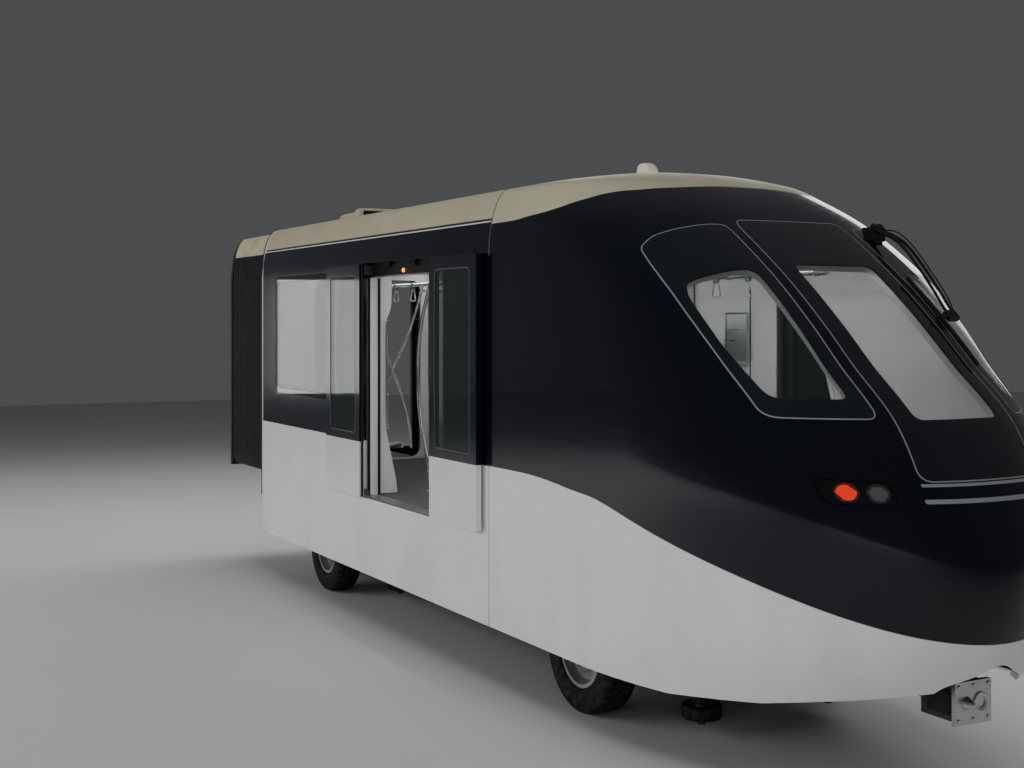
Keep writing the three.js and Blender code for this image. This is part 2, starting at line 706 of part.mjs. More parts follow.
const ANTENNA = { x: 1655, length: 176, width: 130, top: 3807, plateFront: 195, plate: 12 };
const ANTENNA_FOOT = 3660;
const antennaSide = new THREE.Shape();
antennaSide.moveTo(-ANTENNA.length / 2, ANTENNA_FOOT);
antennaSide.lineTo(-ANTENNA.length / 2, ANTENNA.top - 50);
antennaSide.quadraticCurveTo(-ANTENNA.length / 2, ANTENNA.top, -ANTENNA.length / 5, ANTENNA.top);
antennaSide.quadraticCurveTo(ANTENNA.length / 3, ANTENNA.top, ANTENNA.length / 2, ANTENNA_FOOT + 60);
antennaSide.lineTo(ANTENNA.length / 2, ANTENNA_FOOT);
const antennaDome = prism("y", antennaSide, [-ANTENNA.width / 2, ANTENNA.width / 2], 5);
const antennaPlate = box(
  [-ANTENNA.length / 2 - 10, ANTENNA.plateFront],
  [-ANTENNA.width / 2 - 10, ANTENNA.width / 2 + 10],
  [ANTENNA_FOOT, CROWN_Z + ANTENNA.plate],
);
const antenna = union(antennaDome, antennaPlate).translate([ANTENNA.x, 0, 0]);
piece("antenna", antenna.subtract(noseSolid(-SEAT_GAP, SEAM_X - 50)), WHITE);

// Wiper: a pivot bracket above the windscreen's top corner, two parallel arms and a blade
const WIPER_ARM = [
  // x, y, z down the glass, standing off it
  [3290, 720, 3240],
  [3560, 690, 3140],
  [3820, 650, 2925],
  [4075, 605, 2665],
];
const WIPER_BLADE = [
  [3830, 484, 2900],
  [4110, 486, 2655],
  [4400, 486, 2375],
];
const wiper = union(
  box([3200, 3345], [660, 785], [3130, 3270]),
  ...[-24, 24].map((offset) => bar(WIPER_ARM.map(([x, y, z]) => [x, y + offset, z]), 11, 6, 6)),
  box([4040, 4105], [560, 650], [2630, 2690]),
  bar([[4085, 590, 2665], [4100, 540, 2660], [4110, 484, 2655]], 11, 2, 6),
  bar(WIPER_BLADE, 16, 6, 6),
);
piece("wiper", wiper.subtract(noseSolid(-SEAT_GAP, noseBack)), RUBBER);

// Couplers: a short automatic head at the nose, a drawbar below the bellows
const COUPLER_Z = 560;
const frontCoupler = union(
  cylinder("x", 60, [3940, 4560], [0, 0, COUPLER_Z]),
  box([4560, 4820], [-120, 120], [COUPLER_Z - 100, COUPLER_Z + 100]),
  box([3850, 3960], [-200, 200], [COUPLER_Z - 90, SOLE_BAR.bottom - SEAT_GAP]),
  box([3790, 3900], [-480, 480], [SOLE_BAR.bottom - 80, SOLE_BAR.bottom - SEAT_GAP]),
);
piece("front_coupler", frontCoupler, STEEL);
const rearDrawbar = union(
  cylinder("x", 60, [-4860, -3720], [0, 0, COUPLER_Z]),
  cylinder("z", 95, [COUPLER_Z - 70, COUPLER_Z + 70], [-4880, 0, 0]),
  box([-3760, -3640], [-200, 200], [COUPLER_Z - 90, SOLE_BAR.bottom - SEAT_GAP]),
  box([-3780, -3640], [-480, 480], [SOLE_BAR.bottom - 80, SOLE_BAR.bottom - SEAT_GAP]),
);
piece("rear_drawbar", rearDrawbar, STEEL);

// Bogies
const BEAM_Z = [520, 640];
const SPRING = { y: 450, radius: 140, top: 993 };
const RING = { radius: 230, top: FLOOR_BOTTOM - 0.4 };
const corners = [
  { place: "front_left", sx: 1, sy: 1 },
  { place: "front_right", sx: 1, sy: -1 },
  { place: "rear_left", sx: -1, sy: 1 },
  { place: "rear_right", sx: -1, sy: -1 },
];
const sides = [
  { side: "left", sy: 1 },
  { side: "right", sy: -1 },
];
const polygonOuter = (inradius, count) => inradius / Math.cos(Math.PI / count);

for (const { name, x } of BOGIES) {
  const guideTop = GUIDE.z + GUIDE.width / 2;
  const frame = union(
    ...sides.map(({ sy }) => box([x - 830, x + 830], [sy * 520 - 50, sy * 520 + 50], BEAM_Z)),
    ...[-560, 560].map((dx) => box([x + dx - 50, x + dx + 50], [-530, 530], BEAM_Z)),
    box([x - 190, x + 190], [-560, 560], [620, 700]),
    cylinder("z", RING.radius, [690, RING.top], [x, 0, 0], 20),
    ...sides.map(({ sy }) => cylinder("z", SPRING.radius, [690, SPRING.top], [x, sy * SPRING.y, 0])),
    ...corners.map(({ sx, sy }) =>
      union(
        box(
          [x + sx * GUIDE.x - 45, x + sx * GUIDE.x + 45],
          [sy * GUIDE.y - 45, sy * GUIDE.y + 45],
          [guideTop + PIN_CLEARANCE, BEAM_Z[0] + 5],
        ),
        cylinder("z", GUIDE.pin, [60, guideTop + 5], [x + sx * GUIDE.x, sy * GUIDE.y, 0]),
      ),
    ),
  );
  piece(`${name}_bogie_frame`, frame, STEEL);

  const axle = union(
    cylinder("y", 75, [-690, 690], [x, 0, TYRE.inradius]),
    cylinder("y", 175, [-130, 130], [x, 0, TYRE.inradius]),
    cylinder("x", 115, [150, 610], [x, 0, 345]),
    ...sides.map(({ sy }) =>
      box([x - 60, x + 60], [sy * 520 - 45, sy * 520 + 45], [TYRE.inradius, BEAM_Z[0] - SEAT_GAP]),
    ),
    ...sides.map(({ sy }) => {
      const span = [680, 985].map((y) => y * sy).sort((a, b) => a - b);
      return cylinder("y", SPINDLE_RADIUS, span, [x, 0, TYRE.inradius], TYRE.sides);
    }),
  );
  piece(`${name}_drive_axle`, axle, STEEL);

  for (const { side, sy } of sides) {
    const centre = [x, sy * WHEEL_Y, TYRE.inradius];
    const round = (r) => polygonOuter(r, TYRE.sides);
    const half = TYRE.width / 2;
    const tyreProfile = [
      [round(TYRE.bead), -95],
      [round(330), -half],
      [round(395), -half + 8],
      [round(TYRE.inradius - 6), -half + 30],
      [round(TYRE.inradius), -half + 55],
      [round(TYRE.inradius), half - 55],
      [round(TYRE.inradius - 6), half - 30],
      [round(395), half - 8],
      [round(330), half],
      [round(TYRE.bead), 95],
    ];
    piece(`${name}_tyre_${side}`, turned("y", tyreProfile, TYRE.sides, centre), RUBBER);
    const bore = round(SPINDLE_RADIUS + PIN_CLEARANCE);
    const barrel = round(TYRE.bead - SEAT_GAP);
    const rimProfile = [
      [bore, -60],
      [120, -60],
      [205, 20],
      [215, -105],
      [barrel, -105],
      [barrel, 105],
      [225, 105],
      [110, 70],
      [bore, 95],
    ].map(([r, along]) => [r, along * sy]);
    const ordered = sy > 0 ? rimProfile : rimProfile.reverse();
    piece(`${name}_rim_${side}`, turned("y", ordered, TYRE.sides, centre), ALLOY);
  }
  for (const { place, sx, sy } of corners) {
    const half = GUIDE.width / 2;
    const bore = polygonOuter(GUIDE.pin + PIN_CLEARANCE, GUIDE.sides);
    const profile = [
      [bore, -half],
      [GUIDE.radius - 12, -half],
      [GUIDE.radius, -half + 12],
      [GUIDE.radius, half - 12],
      [GUIDE.radius - 12, half],
      [bore, half],
    ];
    const centre = [x + sx * GUIDE.x, sy * GUIDE.y, GUIDE.z];
    piece(`${name}_guide_wheel_${place}`, turned("z", profile, GUIDE.sides, centre), RUBBER);
  }
}

export default car;
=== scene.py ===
"""The end car of a rubber-tyred guided train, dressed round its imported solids.

Metres throughout; +X is the nose, +Y the car's left side, +Z up from the running surface.
"""
import math

import bpy
import numpy as np
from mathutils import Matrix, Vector


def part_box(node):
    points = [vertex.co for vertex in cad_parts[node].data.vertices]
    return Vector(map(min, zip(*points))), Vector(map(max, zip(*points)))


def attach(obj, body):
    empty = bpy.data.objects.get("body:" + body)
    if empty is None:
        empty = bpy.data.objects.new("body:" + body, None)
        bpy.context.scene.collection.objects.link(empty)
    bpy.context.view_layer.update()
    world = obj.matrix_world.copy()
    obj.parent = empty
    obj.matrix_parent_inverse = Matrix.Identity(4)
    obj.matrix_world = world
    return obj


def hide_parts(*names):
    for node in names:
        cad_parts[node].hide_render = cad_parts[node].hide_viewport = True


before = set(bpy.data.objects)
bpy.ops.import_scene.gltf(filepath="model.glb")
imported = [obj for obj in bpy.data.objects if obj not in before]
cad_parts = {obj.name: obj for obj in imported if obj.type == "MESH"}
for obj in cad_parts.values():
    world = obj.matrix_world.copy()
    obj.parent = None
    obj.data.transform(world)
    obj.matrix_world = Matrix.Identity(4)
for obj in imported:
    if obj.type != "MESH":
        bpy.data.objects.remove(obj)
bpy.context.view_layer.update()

# Camera: the photograph's own viewpoint, level, with the horizon above the picture's middle.
EYE = Vector((10.275, -5.75, 2.63))
HEADING = math.radians(28.1)  # from straight back along the car, turned to its left side
PICTURE = (1024, 768)
FOCAL_PX = 1384
HORIZON_PX = 321
camera_data = bpy.data.cameras.new("camera")
camera_data.sensor_width = 36
camera_data.lens = camera_data.sensor_width * FOCAL_PX / PICTURE[0]
camera_data.shift_y = (HORIZON_PX - PICTURE[1] / 2) / PICTURE[0]
camera_data.clip_end = 200
camera = bpy.data.objects.new("camera", camera_data)
camera.location = EYE
view = Vector((-math.cos(HEADING), math.sin(HEADING), 0))
camera.rotation_euler = view.to_track_quat("-Z", "Y").to_euler()
bpy.context.scene.collection.objects.link(camera)
bpy.context.scene.camera = camera

# Studio: a pale floor, an even sky and large soft lights. Two of them show in reflections, as the
# bright band along the nose's upper edge and the bright sheet in the open leaf's glass.
FLOOR_SIZE = 70
SKY_COLOUR, SKY_STRENGTH = (0.80, 0.83, 0.86), 0.11
SOFT_LIGHTS = [
    # name, place, aimed at, width, height, watts, seen in reflections
    ("overhead", (-7.0, 2.6, 9.5), (-3.5, 1.0, 1.0), 11, 4.2, 400, False),
    ("front_top", (6.5, -2.5, 9.0), (2.2, -0.3, 3.4), 4, 3, 150, False),
    ("right_side", (-5.0, -15.0, 5.5), (0.5, 0, 1.2), 16, 6, 900, False),
    ("front_fill", (15.0, -11.0, 4.5), (2.5, 0, 1.2), 12, 6, 520, False),
    ("left_side", (0.5, 11.0, 5.0), (0.5, 0, 2.0), 15, 3.6, 330, False),
    ("left_band", (-8.0, 11.0, 6.4), (2.9, 0.4, 3.0), 12, 4.6, 230, True),
    ("rear_sheet", (-15.70, -6.3, 2.32), (-1.97, -1.2, 2.48), 1.84, 2.25, 16, True),
    ("cab_lamp", (3.22, -0.25, 3.02), (3.1, 0.6, 2.1), 0.4, 0.4, 7, False),
]


class Value:
    """An output of a shader node. Python's operators on it add Math nodes."""

    def __init__(self, finish, socket):
        self.finish = finish
        self.socket = socket

    def math(self, operation, *terms):
        inputs = dict(enumerate(terms))
        return self.finish.node("Math", {"operation": operation}, inputs)

    def __add__(self, other):
        return self.math("ADD", self, other)

    def __sub__(self, other):
        return self.math("SUBTRACT", self, other)

    def __rsub__(self, other):
        return self.math("SUBTRACT", other, self)

    def __mul__(self, other):
        return self.math("MULTIPLY", self, other)

    def __gt__(self, other):
        return self.math("GREATER_THAN", self, other)

    def __abs__(self):
        return self.math("ABSOLUTE", self)

    def clipped(self):
        return self.math("MINIMUM", self.math("MAXIMUM", self, 0.0), 1.0)

    __radd__ = __add__
    __rmul__ = __mul__


class Finish:
    """A material with one Principled shader, whose sockets take values or links."""

    def __init__(self, name, **constants):
        self.material = bpy.data.materials.new(name)
        self.material.use_nodes = True
        self.tree = self.material.node_tree
        self.shader = self.tree.nodes["Principled BSDF"]
        for key, value in constants.items():
            self.set(key.replace("_", " ").title(), value)

    def feed(self, socket, value):
        if isinstance(value, Value):
            self.tree.links.new(value.socket, socket)
        elif isinstance(value, tuple) and len(value) == 3 and socket.type == "RGBA":
            socket.default_value = (*value, 1)
        else:
            socket.default_value = value

    def set(self, name, value):
        name = {"Ior": "IOR"}.get(name, name)
        self.feed(self.shader.inputs[name], value)

    def node(self, kind, settings, inputs, out=0):
        """A node of this kind: its settings first, then the values or links of its sockets."""
        node = self.tree.nodes.new("ShaderNode" + kind)
        for key, value in settings.items():
            if key == "stops":
                for element, (place, shade) in zip(node.color_ramp.elements, value):
                    element.position = place
                    element.color = (shade, shade, shade, 1)
            else:
                setattr(node, key, value)
        for key, value in inputs.items():
            self.feed(node.inputs[key], value)
        return Value(self, node.outputs[out])

    def place(self):
        return self.node("TexCoord", {}, {}, "Object")

    def axis(self, name):
        return self.node("SeparateXYZ", {}, {0: self.place()}, name)

    def noise(self, scale, detail=3.0, stretch=None):
        place = self.place()
        if stretch:
            place = self.node("Mapping", {}, {"Vector": place, "Scale": stretch})
        inputs = {"Vector": place, "Scale": scale, "Detail": detail}
        return self.node("TexNoise", {}, inputs)

    def ramp(self, value, low, high):
        """0 below low, 1 above high, straight between."""
        stops = [(low, 0.0), (high, 1.0)]
        return self.node("ValToRGB", {"stops": stops}, {"Fac": value})

    def mix(self, share, first, second):
        inputs = {"Factor": share, 6: first, 7: second}
        return self.node("Mix", {"data_type": "RGBA"}, inputs, 2)

    def bump(self, height, distance):
        self.set("Normal", self.node("Bump", {}, {"Height": height, "Distance": distance}))

    def toned(self, tone, first, second, roughness=None, metallic=None):
        """The colour runs between two along a tone, which goes from 0 to 1. Roughness and
        metalness are each given as a start and a share of the tone to add."""
        self.set("Base Color", self.mix(tone, first, second))
        for name, run in (("Roughness", roughness), ("Metallic", metallic)):
            if run:
                self.set(name, run[0] + tone * run[1])


floor_finish = Finish("studio_floor", roughness=0.55)
floor_finish.toned(floor_finish.noise(0.35, 4.0), (0.66, 0.66, 0.65), (0.72, 0.72, 0.71))
bpy.ops.mesh.primitive_plane_add(size=FLOOR_SIZE)
floor = bpy.context.object
floor.name = "studio_floor"
floor.data.materials.append(floor_finish.material)

for name, place, target, width, height, watts, reflected in SOFT_LIGHTS:
    light = bpy.data.lights.new(name, "AREA")
    light.shape = "RECTANGLE"
    light.size = width
    light.size_y = height
    light.energy = watts
    lamp = bpy.data.objects.new(name, light)
    lamp.location = place
    lamp.visible_camera = False
    lamp.visible_glossy = reflected
    lamp.rotation_euler = (Vector(target) - Vector(place)).to_track_quat("-Z", "Y").to_euler()
    bpy.context.scene.collection.objects.link(lamp)
world = bpy.data.worlds.new("soft_sky")
world.use_nodes = True
sky = world.node_tree.nodes["Background"]
sky.inputs["Color"].default_value = (*SKY_COLOUR, 1)
sky.inputs["Strength"].default_value = SKY_STRENGTH
bpy.context.scene.world = world
bpy.context.scene.view_settings.look = "AgX - Medium High Contrast"

# Nose shape: the surface that the roof tongue, dark mask, white skirt and windows share.
# Each level's outline in plan runs straight from the seam, then round a superellipse.
SEAM_X = 1.4
SHOULDER_Z = 3.1
SHOULDER_PULL = 0.26  # how far the corner curve stays upright
KNEE = (1.04, 3.588)
KNEE_PULL = 0.088
CROWN_Z = 3.698
HALF_WIDTH = 1.2
SKIRT_BOTTOM = 0.43
ROOF_RADIUS = (KNEE[0] ** 2 + (CROWN_Z - KNEE[1]) ** 2) / (2 * (CROWN_Z - KNEE[1]))
NOSE_LEVELS = np.array([
    # tip x, z, depth of the round front, power of its superellipse
    [SEAM_X, CROWN_Z, 1.710, 2.80],
    [1.850, 3.687, 1.705, 2.80],
    [2.300, 3.664, 1.675, 2.80],
    [2.680, 3.566, 1.590, 2.75],
    [3.010, 3.421, 1.420, 2.75],
    [3.324, 3.237, 1.200, 2.75],
    [3.780, 2.916, 1.100, 2.75],
    [4.140, 2.621, 1.260, 2.65],
    [4.400, 2.383, 1.460, 2.60],
    [4.780, 2.050, 1.690, 2.40],
    [5.025, 1.608, 1.860, 2.20],
    [5.085, 1.180, 2.000, 2.05],
    [5.005, 0.775, 2.070, 2.00],
    [4.700, SKIRT_BOTTOM, 2.100, 2.00],
])
NOSE_SPACING = 0.0396
FRONT_ANGLES, SIDE_STEPS = 129, 26
FINE_STEPS = 4000


def corner_curve(steps=60):
    """Cubic Bezier from the shoulder, where it is upright, to the knee, along the roof's slope."""
    slope = KNEE[0] / ROOF_RADIUS
    ends = np.array([
        [HALF_WIDTH, SHOULDER_Z],
        [HALF_WIDTH, SHOULDER_Z + SHOULDER_PULL],
        [KNEE[0] + KNEE_PULL, KNEE[1] - KNEE_PULL * slope],
        KNEE,
    ])
    t = np.linspace(0, 1, steps)[:, None]
    weights = [(1 - t) ** 3, 3 * t * (1 - t) ** 2, 3 * t**2 * (1 - t), t**3]
    return sum(weight * point for weight, point in zip(weights, ends))


def half_width(z):
    """Half the body's width at a height: upright, then the corner curve, then the roof's arc."""
    corner = corner_curve()
    drop = np.maximum(CROWN_Z - z, 0)
    arc = np.sqrt(np.maximum(drop * (2 * ROOF_RADIUS - drop), 0))
    curved = np.interp(z, corner[:, 1], corner[:, 0])
    return np.where(z > KNEE[1], arc, np.where(z > SHOULDER_Z, curved, HALF_WIDTH))


def smooth_table(table, u):
    """Rows of a table at 0 <= u <= 1 by the uniform Catmull-Rom spline through all its rows:
    a cubic between two rows whose end slopes are half the step between their neighbours."""
    last = len(table) - 1
    place = last * np.asarray(u)
    row = np.minimum(place.astype(int), last - 1)
    t = (place - row)[:, None]
    before, here = table[np.maximum(row - 1, 0)], table[row]
    after, beyond = table[row + 1], table[np.minimum(row + 2, last)]
    leave, arrive = (after - before) / 2, (beyond - here) / 2
    cubic = 2 * here - 2 * after + leave + arrive
    square = 3 * after - 3 * here - 2 * leave - arrive
    return cubic * t**3 + square * t**2 + leave * t + here


def nose_rows():
    """Values of u that lie NOSE_SPACING apart along the centreline or round the seam's section,
    whichever is longer."""
    fine = np.linspace(0, 1, FINE_STEPS)
    levels = smooth_table(NOSE_LEVELS, fine)
    centreline = levels[:, :2]
    section = np.stack([half_width(levels[:, 1]), levels[:, 1]], 1)
    steps = [np.linalg.norm(np.diff(curve, axis=0), axis=1) for curve in (centreline, section)]
    along = np.concatenate([[0], np.cumsum(np.maximum(*steps))])
    count = int(along[-1] / NOSE_SPACING)
    return np.interp(np.linspace(0, along[-1], count), along, fine)


def nose_grid():
    """Points (rows, columns, 3). A column is an angle a round the front, where the reach is
    cos a and the breadth sin a over the p-th root of |cos a|^p + |sin a|^p, or a share of the
    straight side behind it."""
    levels = smooth_table(NOSE_LEVELS, nose_rows())
    tip, z, depth, power = [column[:, None] for column in levels.T]
    depth = np.minimum(depth, tip - SEAM_X)
    half = half_width(z)
    angle = np.linspace(-np.pi / 2, np.pi / 2, FRONT_ANGLES)[None]
    cosine, sine = np.maximum(np.cos(angle), 0), np.sin(angle)
    radius = (cosine**power + np.abs(sine) ** power) ** (-1 / power)
    front_x = tip - depth + depth * cosine * radius
    front_y = half * sine * radius
    share = np.linspace(0, 1, SIDE_STEPS, endpoint=False)[None]
    side_x = SEAM_X + (tip - depth - SEAM_X) * share
    side_y = half + 0 * side_x
    x = np.concatenate([side_x, front_x, side_x[:, ::-1]], 1)
    y = np.concatenate([-side_y, front_y, side_y[:, ::-1]], 1)
    return np.stack([x, y, z + 0 * x], 2)


def grid_faces(rows, columns, round_columns=False, round_rows=False):
    """Quads that join neighbours on a grid of points, closed on themselves where asked."""
    row = np.arange(rows if round_rows else rows - 1)[:, None]
    column = np.arange(columns if round_columns else columns - 1)[None]
    next_row, next_column = (row + 1) % rows, (column + 1) % columns
    corners = [
        row * columns + column,
        row * columns + next_column,
        next_row * columns + next_column,
        next_row * columns + column,
    ]
    return np.stack([corner + 0 * row + 0 * column for corner in corners], -1).reshape(-1, 4)


def triangles(quads):
    return np.concatenate([quads[:, [0, 1, 2]], quads[:, [0, 2, 3]]])


def welded(points, faces):
    """Points that coincide become one, and triangles that lost a corner go."""
    keys = np.round(points * 1e5).astype(np.int64)
    _, first, where = np.unique(keys, axis=0, return_index=True, return_inverse=True)
    faces = where.ravel()[faces]
    a, b, c = faces.T
    return points[first], faces[(a != b) & (b != c) & (c != a)]


def surface_normals(points, faces):
    """At each point, the sum of its triangles' cross products, made one long."""
    a, b, c = points[faces].transpose(1, 0, 2)
    cross = np.cross(b - a, c - a)
    normals = np.zeros_like(points)
    for corner in range(3):
        np.add.at(normals, faces[:, corner], cross)
    return normals / np.maximum(np.linalg.norm(normals, axis=1, keepdims=True), 1e-12)


class Skin:
    """A triangle surface with a normal at each point, that fields can trim."""

    def __init__(self, points, faces, normals=None):
        self.points = points
        self.faces = faces
        self.normals = surface_normals(points, faces) if normals is None else normals

    def evened(self, field):
        """A field divided by its slope along the surface, so that it counts in metres."""
        a, b, c = self.points[self.faces].transpose(1, 0, 2)
        fa, fb, fc = field[self.faces].T
        cross = np.cross(b - a, c - a)
        square = np.maximum((cross**2).sum(1), 1e-18)
        pull = (c - b) * fa[:, None] + (a - c) * fb[:, None] + (b - a) * fc[:, None]
        slope = np.linalg.norm(np.cross(cross, pull), axis=1) / square
        total = np.zeros(len(self.points))
        area = np.zeros(len(self.points))
        for corner in range(3):
            np.add.at(total, self.faces[:, corner], slope * np.sqrt(square))
            np.add.at(area, self.faces[:, corner], np.sqrt(square))
        return field / np.maximum(total / area, 1e-6)

    def finer(self, close):
        """Every edge between two close points gets a point in its middle. A triangle becomes
        two, three or four, by how many of its edges were halved."""
        a, b = self.faces, np.roll(self.faces, -1, axis=1)
        halved = close[a] & close[b]
        keys = np.minimum(a, b) * len(self.points) + np.maximum(a, b)
        fresh, where = np.unique(keys[halved], return_inverse=True)
        middle = np.full(a.shape, -1)
        middle[halved] = len(self.points) + where.ravel()
        first, second = fresh // len(self.points), fresh % len(self.points)
        points = np.concatenate([self.points, (self.points[first] + self.points[second]) / 2])
        normals = self.normals[first] + self.normals[second]
        normals /= np.linalg.norm(normals, axis=1, keepdims=True)
        count = halved.sum(1)
        parts = [self.faces[count == 0]]
        for number in (1, 2, 3):
            chosen = count == number
            turn = np.argmax(halved[chosen], axis=1)
            if number == 2:
                turn = (np.argmin(halved[chosen], axis=1) + 1) % 3
            rows = np.arange(chosen.sum())
            one, two, three = [self.faces[chosen][rows, (turn + k) % 3] for k in range(3)]
            m, n, o = [middle[chosen][rows, (turn + k) % 3] for k in range(3)]
            parts += {
                1: [(one, m, three), (m, two, three)],
                2: [(m, two, n), (one, m, n), (one, n, three)],
                3: [(one, m, o), (m, two, n), (o, n, three), (m, n, o)],
            }[number]
        faces = [part if isinstance(part, np.ndarray) else np.stack(part, 1) for part in parts]
        return Skin(points, np.concatenate(faces), np.concatenate([self.normals, normals]))

    def where(self, *fields):
        """The part where every field is over 0, cut by one field after another. A triangle that
        a zero line crosses is cut where the field's straight change between corners is 0."""
        data = np.concatenate([self.points, self.normals, *[f[:, None] for f in fields]], 1)
        faces = self.faces
        for column in range(6, data.shape[1]):
            field = data[:, column]
            inside = field > 0
            count = inside[faces].sum(1)
            parts = [faces[count == 3]]
            fresh = [data]
            total = len(data)
            for odd_inside in (True, False):
                crossed = faces[count == (1 if odd_inside else 2)]
                odd = np.argmax(inside[crossed] == odd_inside, axis=1)
                rows = np.arange(len(crossed))
                one, two, three = [crossed[rows, (odd + turn) % 3] for turn in range(3)]
                cuts = []
                for other in (two, three):
                    low, high = np.minimum(one, other), np.maximum(one, other)
                    share = (field[low] / (field[low] - field[high]))[:, None]
                    fresh.append(data[low] + share * (data[high] - data[low]))
                    cuts.append(total + rows)
                    total += len(rows)
                first, second = cuts
                if odd_inside:
                    parts.append(np.stack([one, first, second], 1))
                else:
                    parts.append(np.stack([first, two, three], 1))
                    parts.append(np.stack([first, three, second], 1))
            data = np.concatenate(fresh)
            faces = np.concatenate(parts)
            used, where = np.unique(faces, return_inverse=True)
            data, faces = data[used], where.reshape(-1, 3)
            keys = np.round(data[:, :3] * 1e6).astype(np.int64)
            _, first, where = np.unique(keys, axis=0, return_index=True, return_inverse=True)
            data, faces = data[first], where.ravel()[faces]
            a, b, c = faces.T
            faces = faces[(a != b) & (b != c) & (c != a)]
        used, where = np.unique(faces, return_inverse=True)
        data, faces = data[used], where.reshape(-1, 3)
        length = np.linalg.norm(data[:, 3:6], axis=1, keepdims=True)
        return Skin(data[:, :3], faces, data[:, 3:6] / np.maximum(length, 1e-12))

    def lowered(self, depth):
        """The same surface, set in along its normals."""
        return Skin(self.points - depth * self.normals, self.faces, self.normals)


LIP = 0.0015


def closed_skin(skin, depth):
    """A panel with thickness: the outer skin, a rim that turns over a small round lip, and an
    inner skin set in by the depth. Returns points, faces, corner normals and inner marks."""
    points, normals, faces = skin.points, skin.normals, skin.faces
    count = len(points)
    starts = faces.ravel()
    ends = np.roll(faces, -1, axis=1).ravel()
    keys = np.minimum(starts, ends) * count + np.maximum(starts, ends)
    _, index, uses = np.unique(keys, return_inverse=True, return_counts=True)
    edge = uses[index.ravel()] == 1
    a, b = starts[edge], ends[edge]
    along = points[b] - points[a]
    outward = np.zeros_like(points)
    for corner in (a, b):
        np.add.at(outward, corner, np.cross(along, normals[corner]))
    outward /= np.maximum(np.linalg.norm(outward, axis=1, keepdims=True), 1e-12)
    rim = np.unique(a)
    ring = np.zeros(count, int)
    ring[rim] = 2 * count + np.arange(len(rim))
    inner = points - depth * normals
    inner[rim] += LIP * outward[rim]
    lipped = points[rim] + LIP * (outward[rim] - normals[rim])
    shell_points = np.concatenate([points, inner, lipped])
    round_part = np.stack([b, a, ring[a], ring[b]], 1)
    flat_part = np.stack([ring[b], ring[a], a + count, b + count], 1)
    shell_faces = [faces, faces[:, ::-1] + count, round_part, flat_part]
    corner_normals = np.concatenate([
        normals[faces].reshape(-1, 3),
        -normals[faces[:, ::-1]].reshape(-1, 3),
        np.stack([normals[b], normals[a], outward[a], outward[b]], 1).reshape(-1, 3),
        np.stack([outward[b], outward[a], outward[a], outward[b]], 1).reshape(-1, 3),
    ])
    marks = np.concatenate([[mark] * len(part) for mark, part in zip((0, 1, 0, 0), shell_faces)])
    return shell_points, shell_faces, corner_normals, marks


def piece(name, points, faces, looks, body="car", slot=None, replaces=(), normals=None, marks=None,
          sharp=40):
    """A mesh piece that rides on a body. The faces are one array or several, of 3 or 4 corners;
    marks choose each face's finish, and edges sharper than an angle stay hard."""
    faces = faces if isinstance(faces, list) else [faces]
    mesh = bpy.data.meshes.new(name)
    mesh.vertices.add(len(points))
    mesh.vertices.foreach_set("co", np.asarray(points, np.float32).ravel())
    corners = np.concatenate([part.ravel() for part in faces])
    sizes = np.concatenate([np.full(len(part), part.shape[1]) for part in faces])
    mesh.loops.add(len(corners))
    mesh.loops.foreach_set("vertex_index", corners.astype(np.int32))
    mesh.polygons.add(len(sizes))
    mesh.polygons.foreach_set("loop_start", (np.cumsum(sizes) - sizes).astype(np.int32))
    for finish in looks if isinstance(looks, (list, tuple)) else [looks]:
        mesh.materials.append(finish.material)
    if marks is not None:
        mesh.polygons.foreach_set("material_index", marks.astype(np.int32))
    mesh.update(calc_edges=True)
    mesh.shade_smooth()
    if normals is None:
        mesh.set_sharp_from_angle(angle=math.radians(sharp))
    else:
        mesh.normals_split_custom_set(normals)
    made = bpy.data.objects.new(name, mesh)
    bpy.context.scene.collection.objects.link(made)
    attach(made, body)
    if replaces:
        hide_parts(*replaces)
    return made


def panel(name, skins, depth, looks, **facts):
    """One piece of several trimmed skins, each closed to the same depth."""
    skins = skins if isinstance(skins, list) else [skins]
    points, faces, normals, marks = [], [], [], []
    start = 0
    for skin in skins:
        shell = closed_skin(skin, depth)
        points.append(shell[0])
        faces += [part + start for part in shell[1]]
        normals.append(shell[2])
        marks.append(shell[3])
        start += len(shell[0])
    several = isinstance(looks, (list, tuple)) and len(looks) > 1
    return piece(name, np.concatenate(points), faces, looks, normals=np.concatenate(normals),
                 marks=np.concatenate(marks) if several else None, **facts)


grid = nose_grid()
nose = Skin(*welded(grid.reshape(-1, 3), triangles(grid_faces(*grid.shape[:2]))[:, ::-1]))


def rounded(corners, reach):
    """A closed outline through straight sides whose corners are parabolic arcs of nine points.
    Each arc starts and ends a reach from its corner, and has the corner as its control point."""
    corners = np.array(corners, float)
    reach = np.broadcast_to(reach, len(corners))[:, None]
    before, after = np.roll(corners, 1, axis=0) - corners, np.roll(corners, -1, axis=0) - corners
    start = corners + reach * before / np.linalg.norm(before, axis=1, keepdims=True)
    end = corners + reach * after / np.linalg.norm(after, axis=1, keepdims=True)
    t = np.linspace(0, 1, 9)[None, :, None]
    arc = (1 - t) ** 2 * start[:, None] + 2 * t * (1 - t) * corners[:, None] + t**2 * end[:, None]
    return arc.reshape(-1, 2)


def rectangle(first, second, reach):
    """A rounded rectangle between two values on each of two axes."""
    (a, b), (low, high) = first, second
    return rounded([(a, low), (b, low), (b, high), (a, high)], reach)


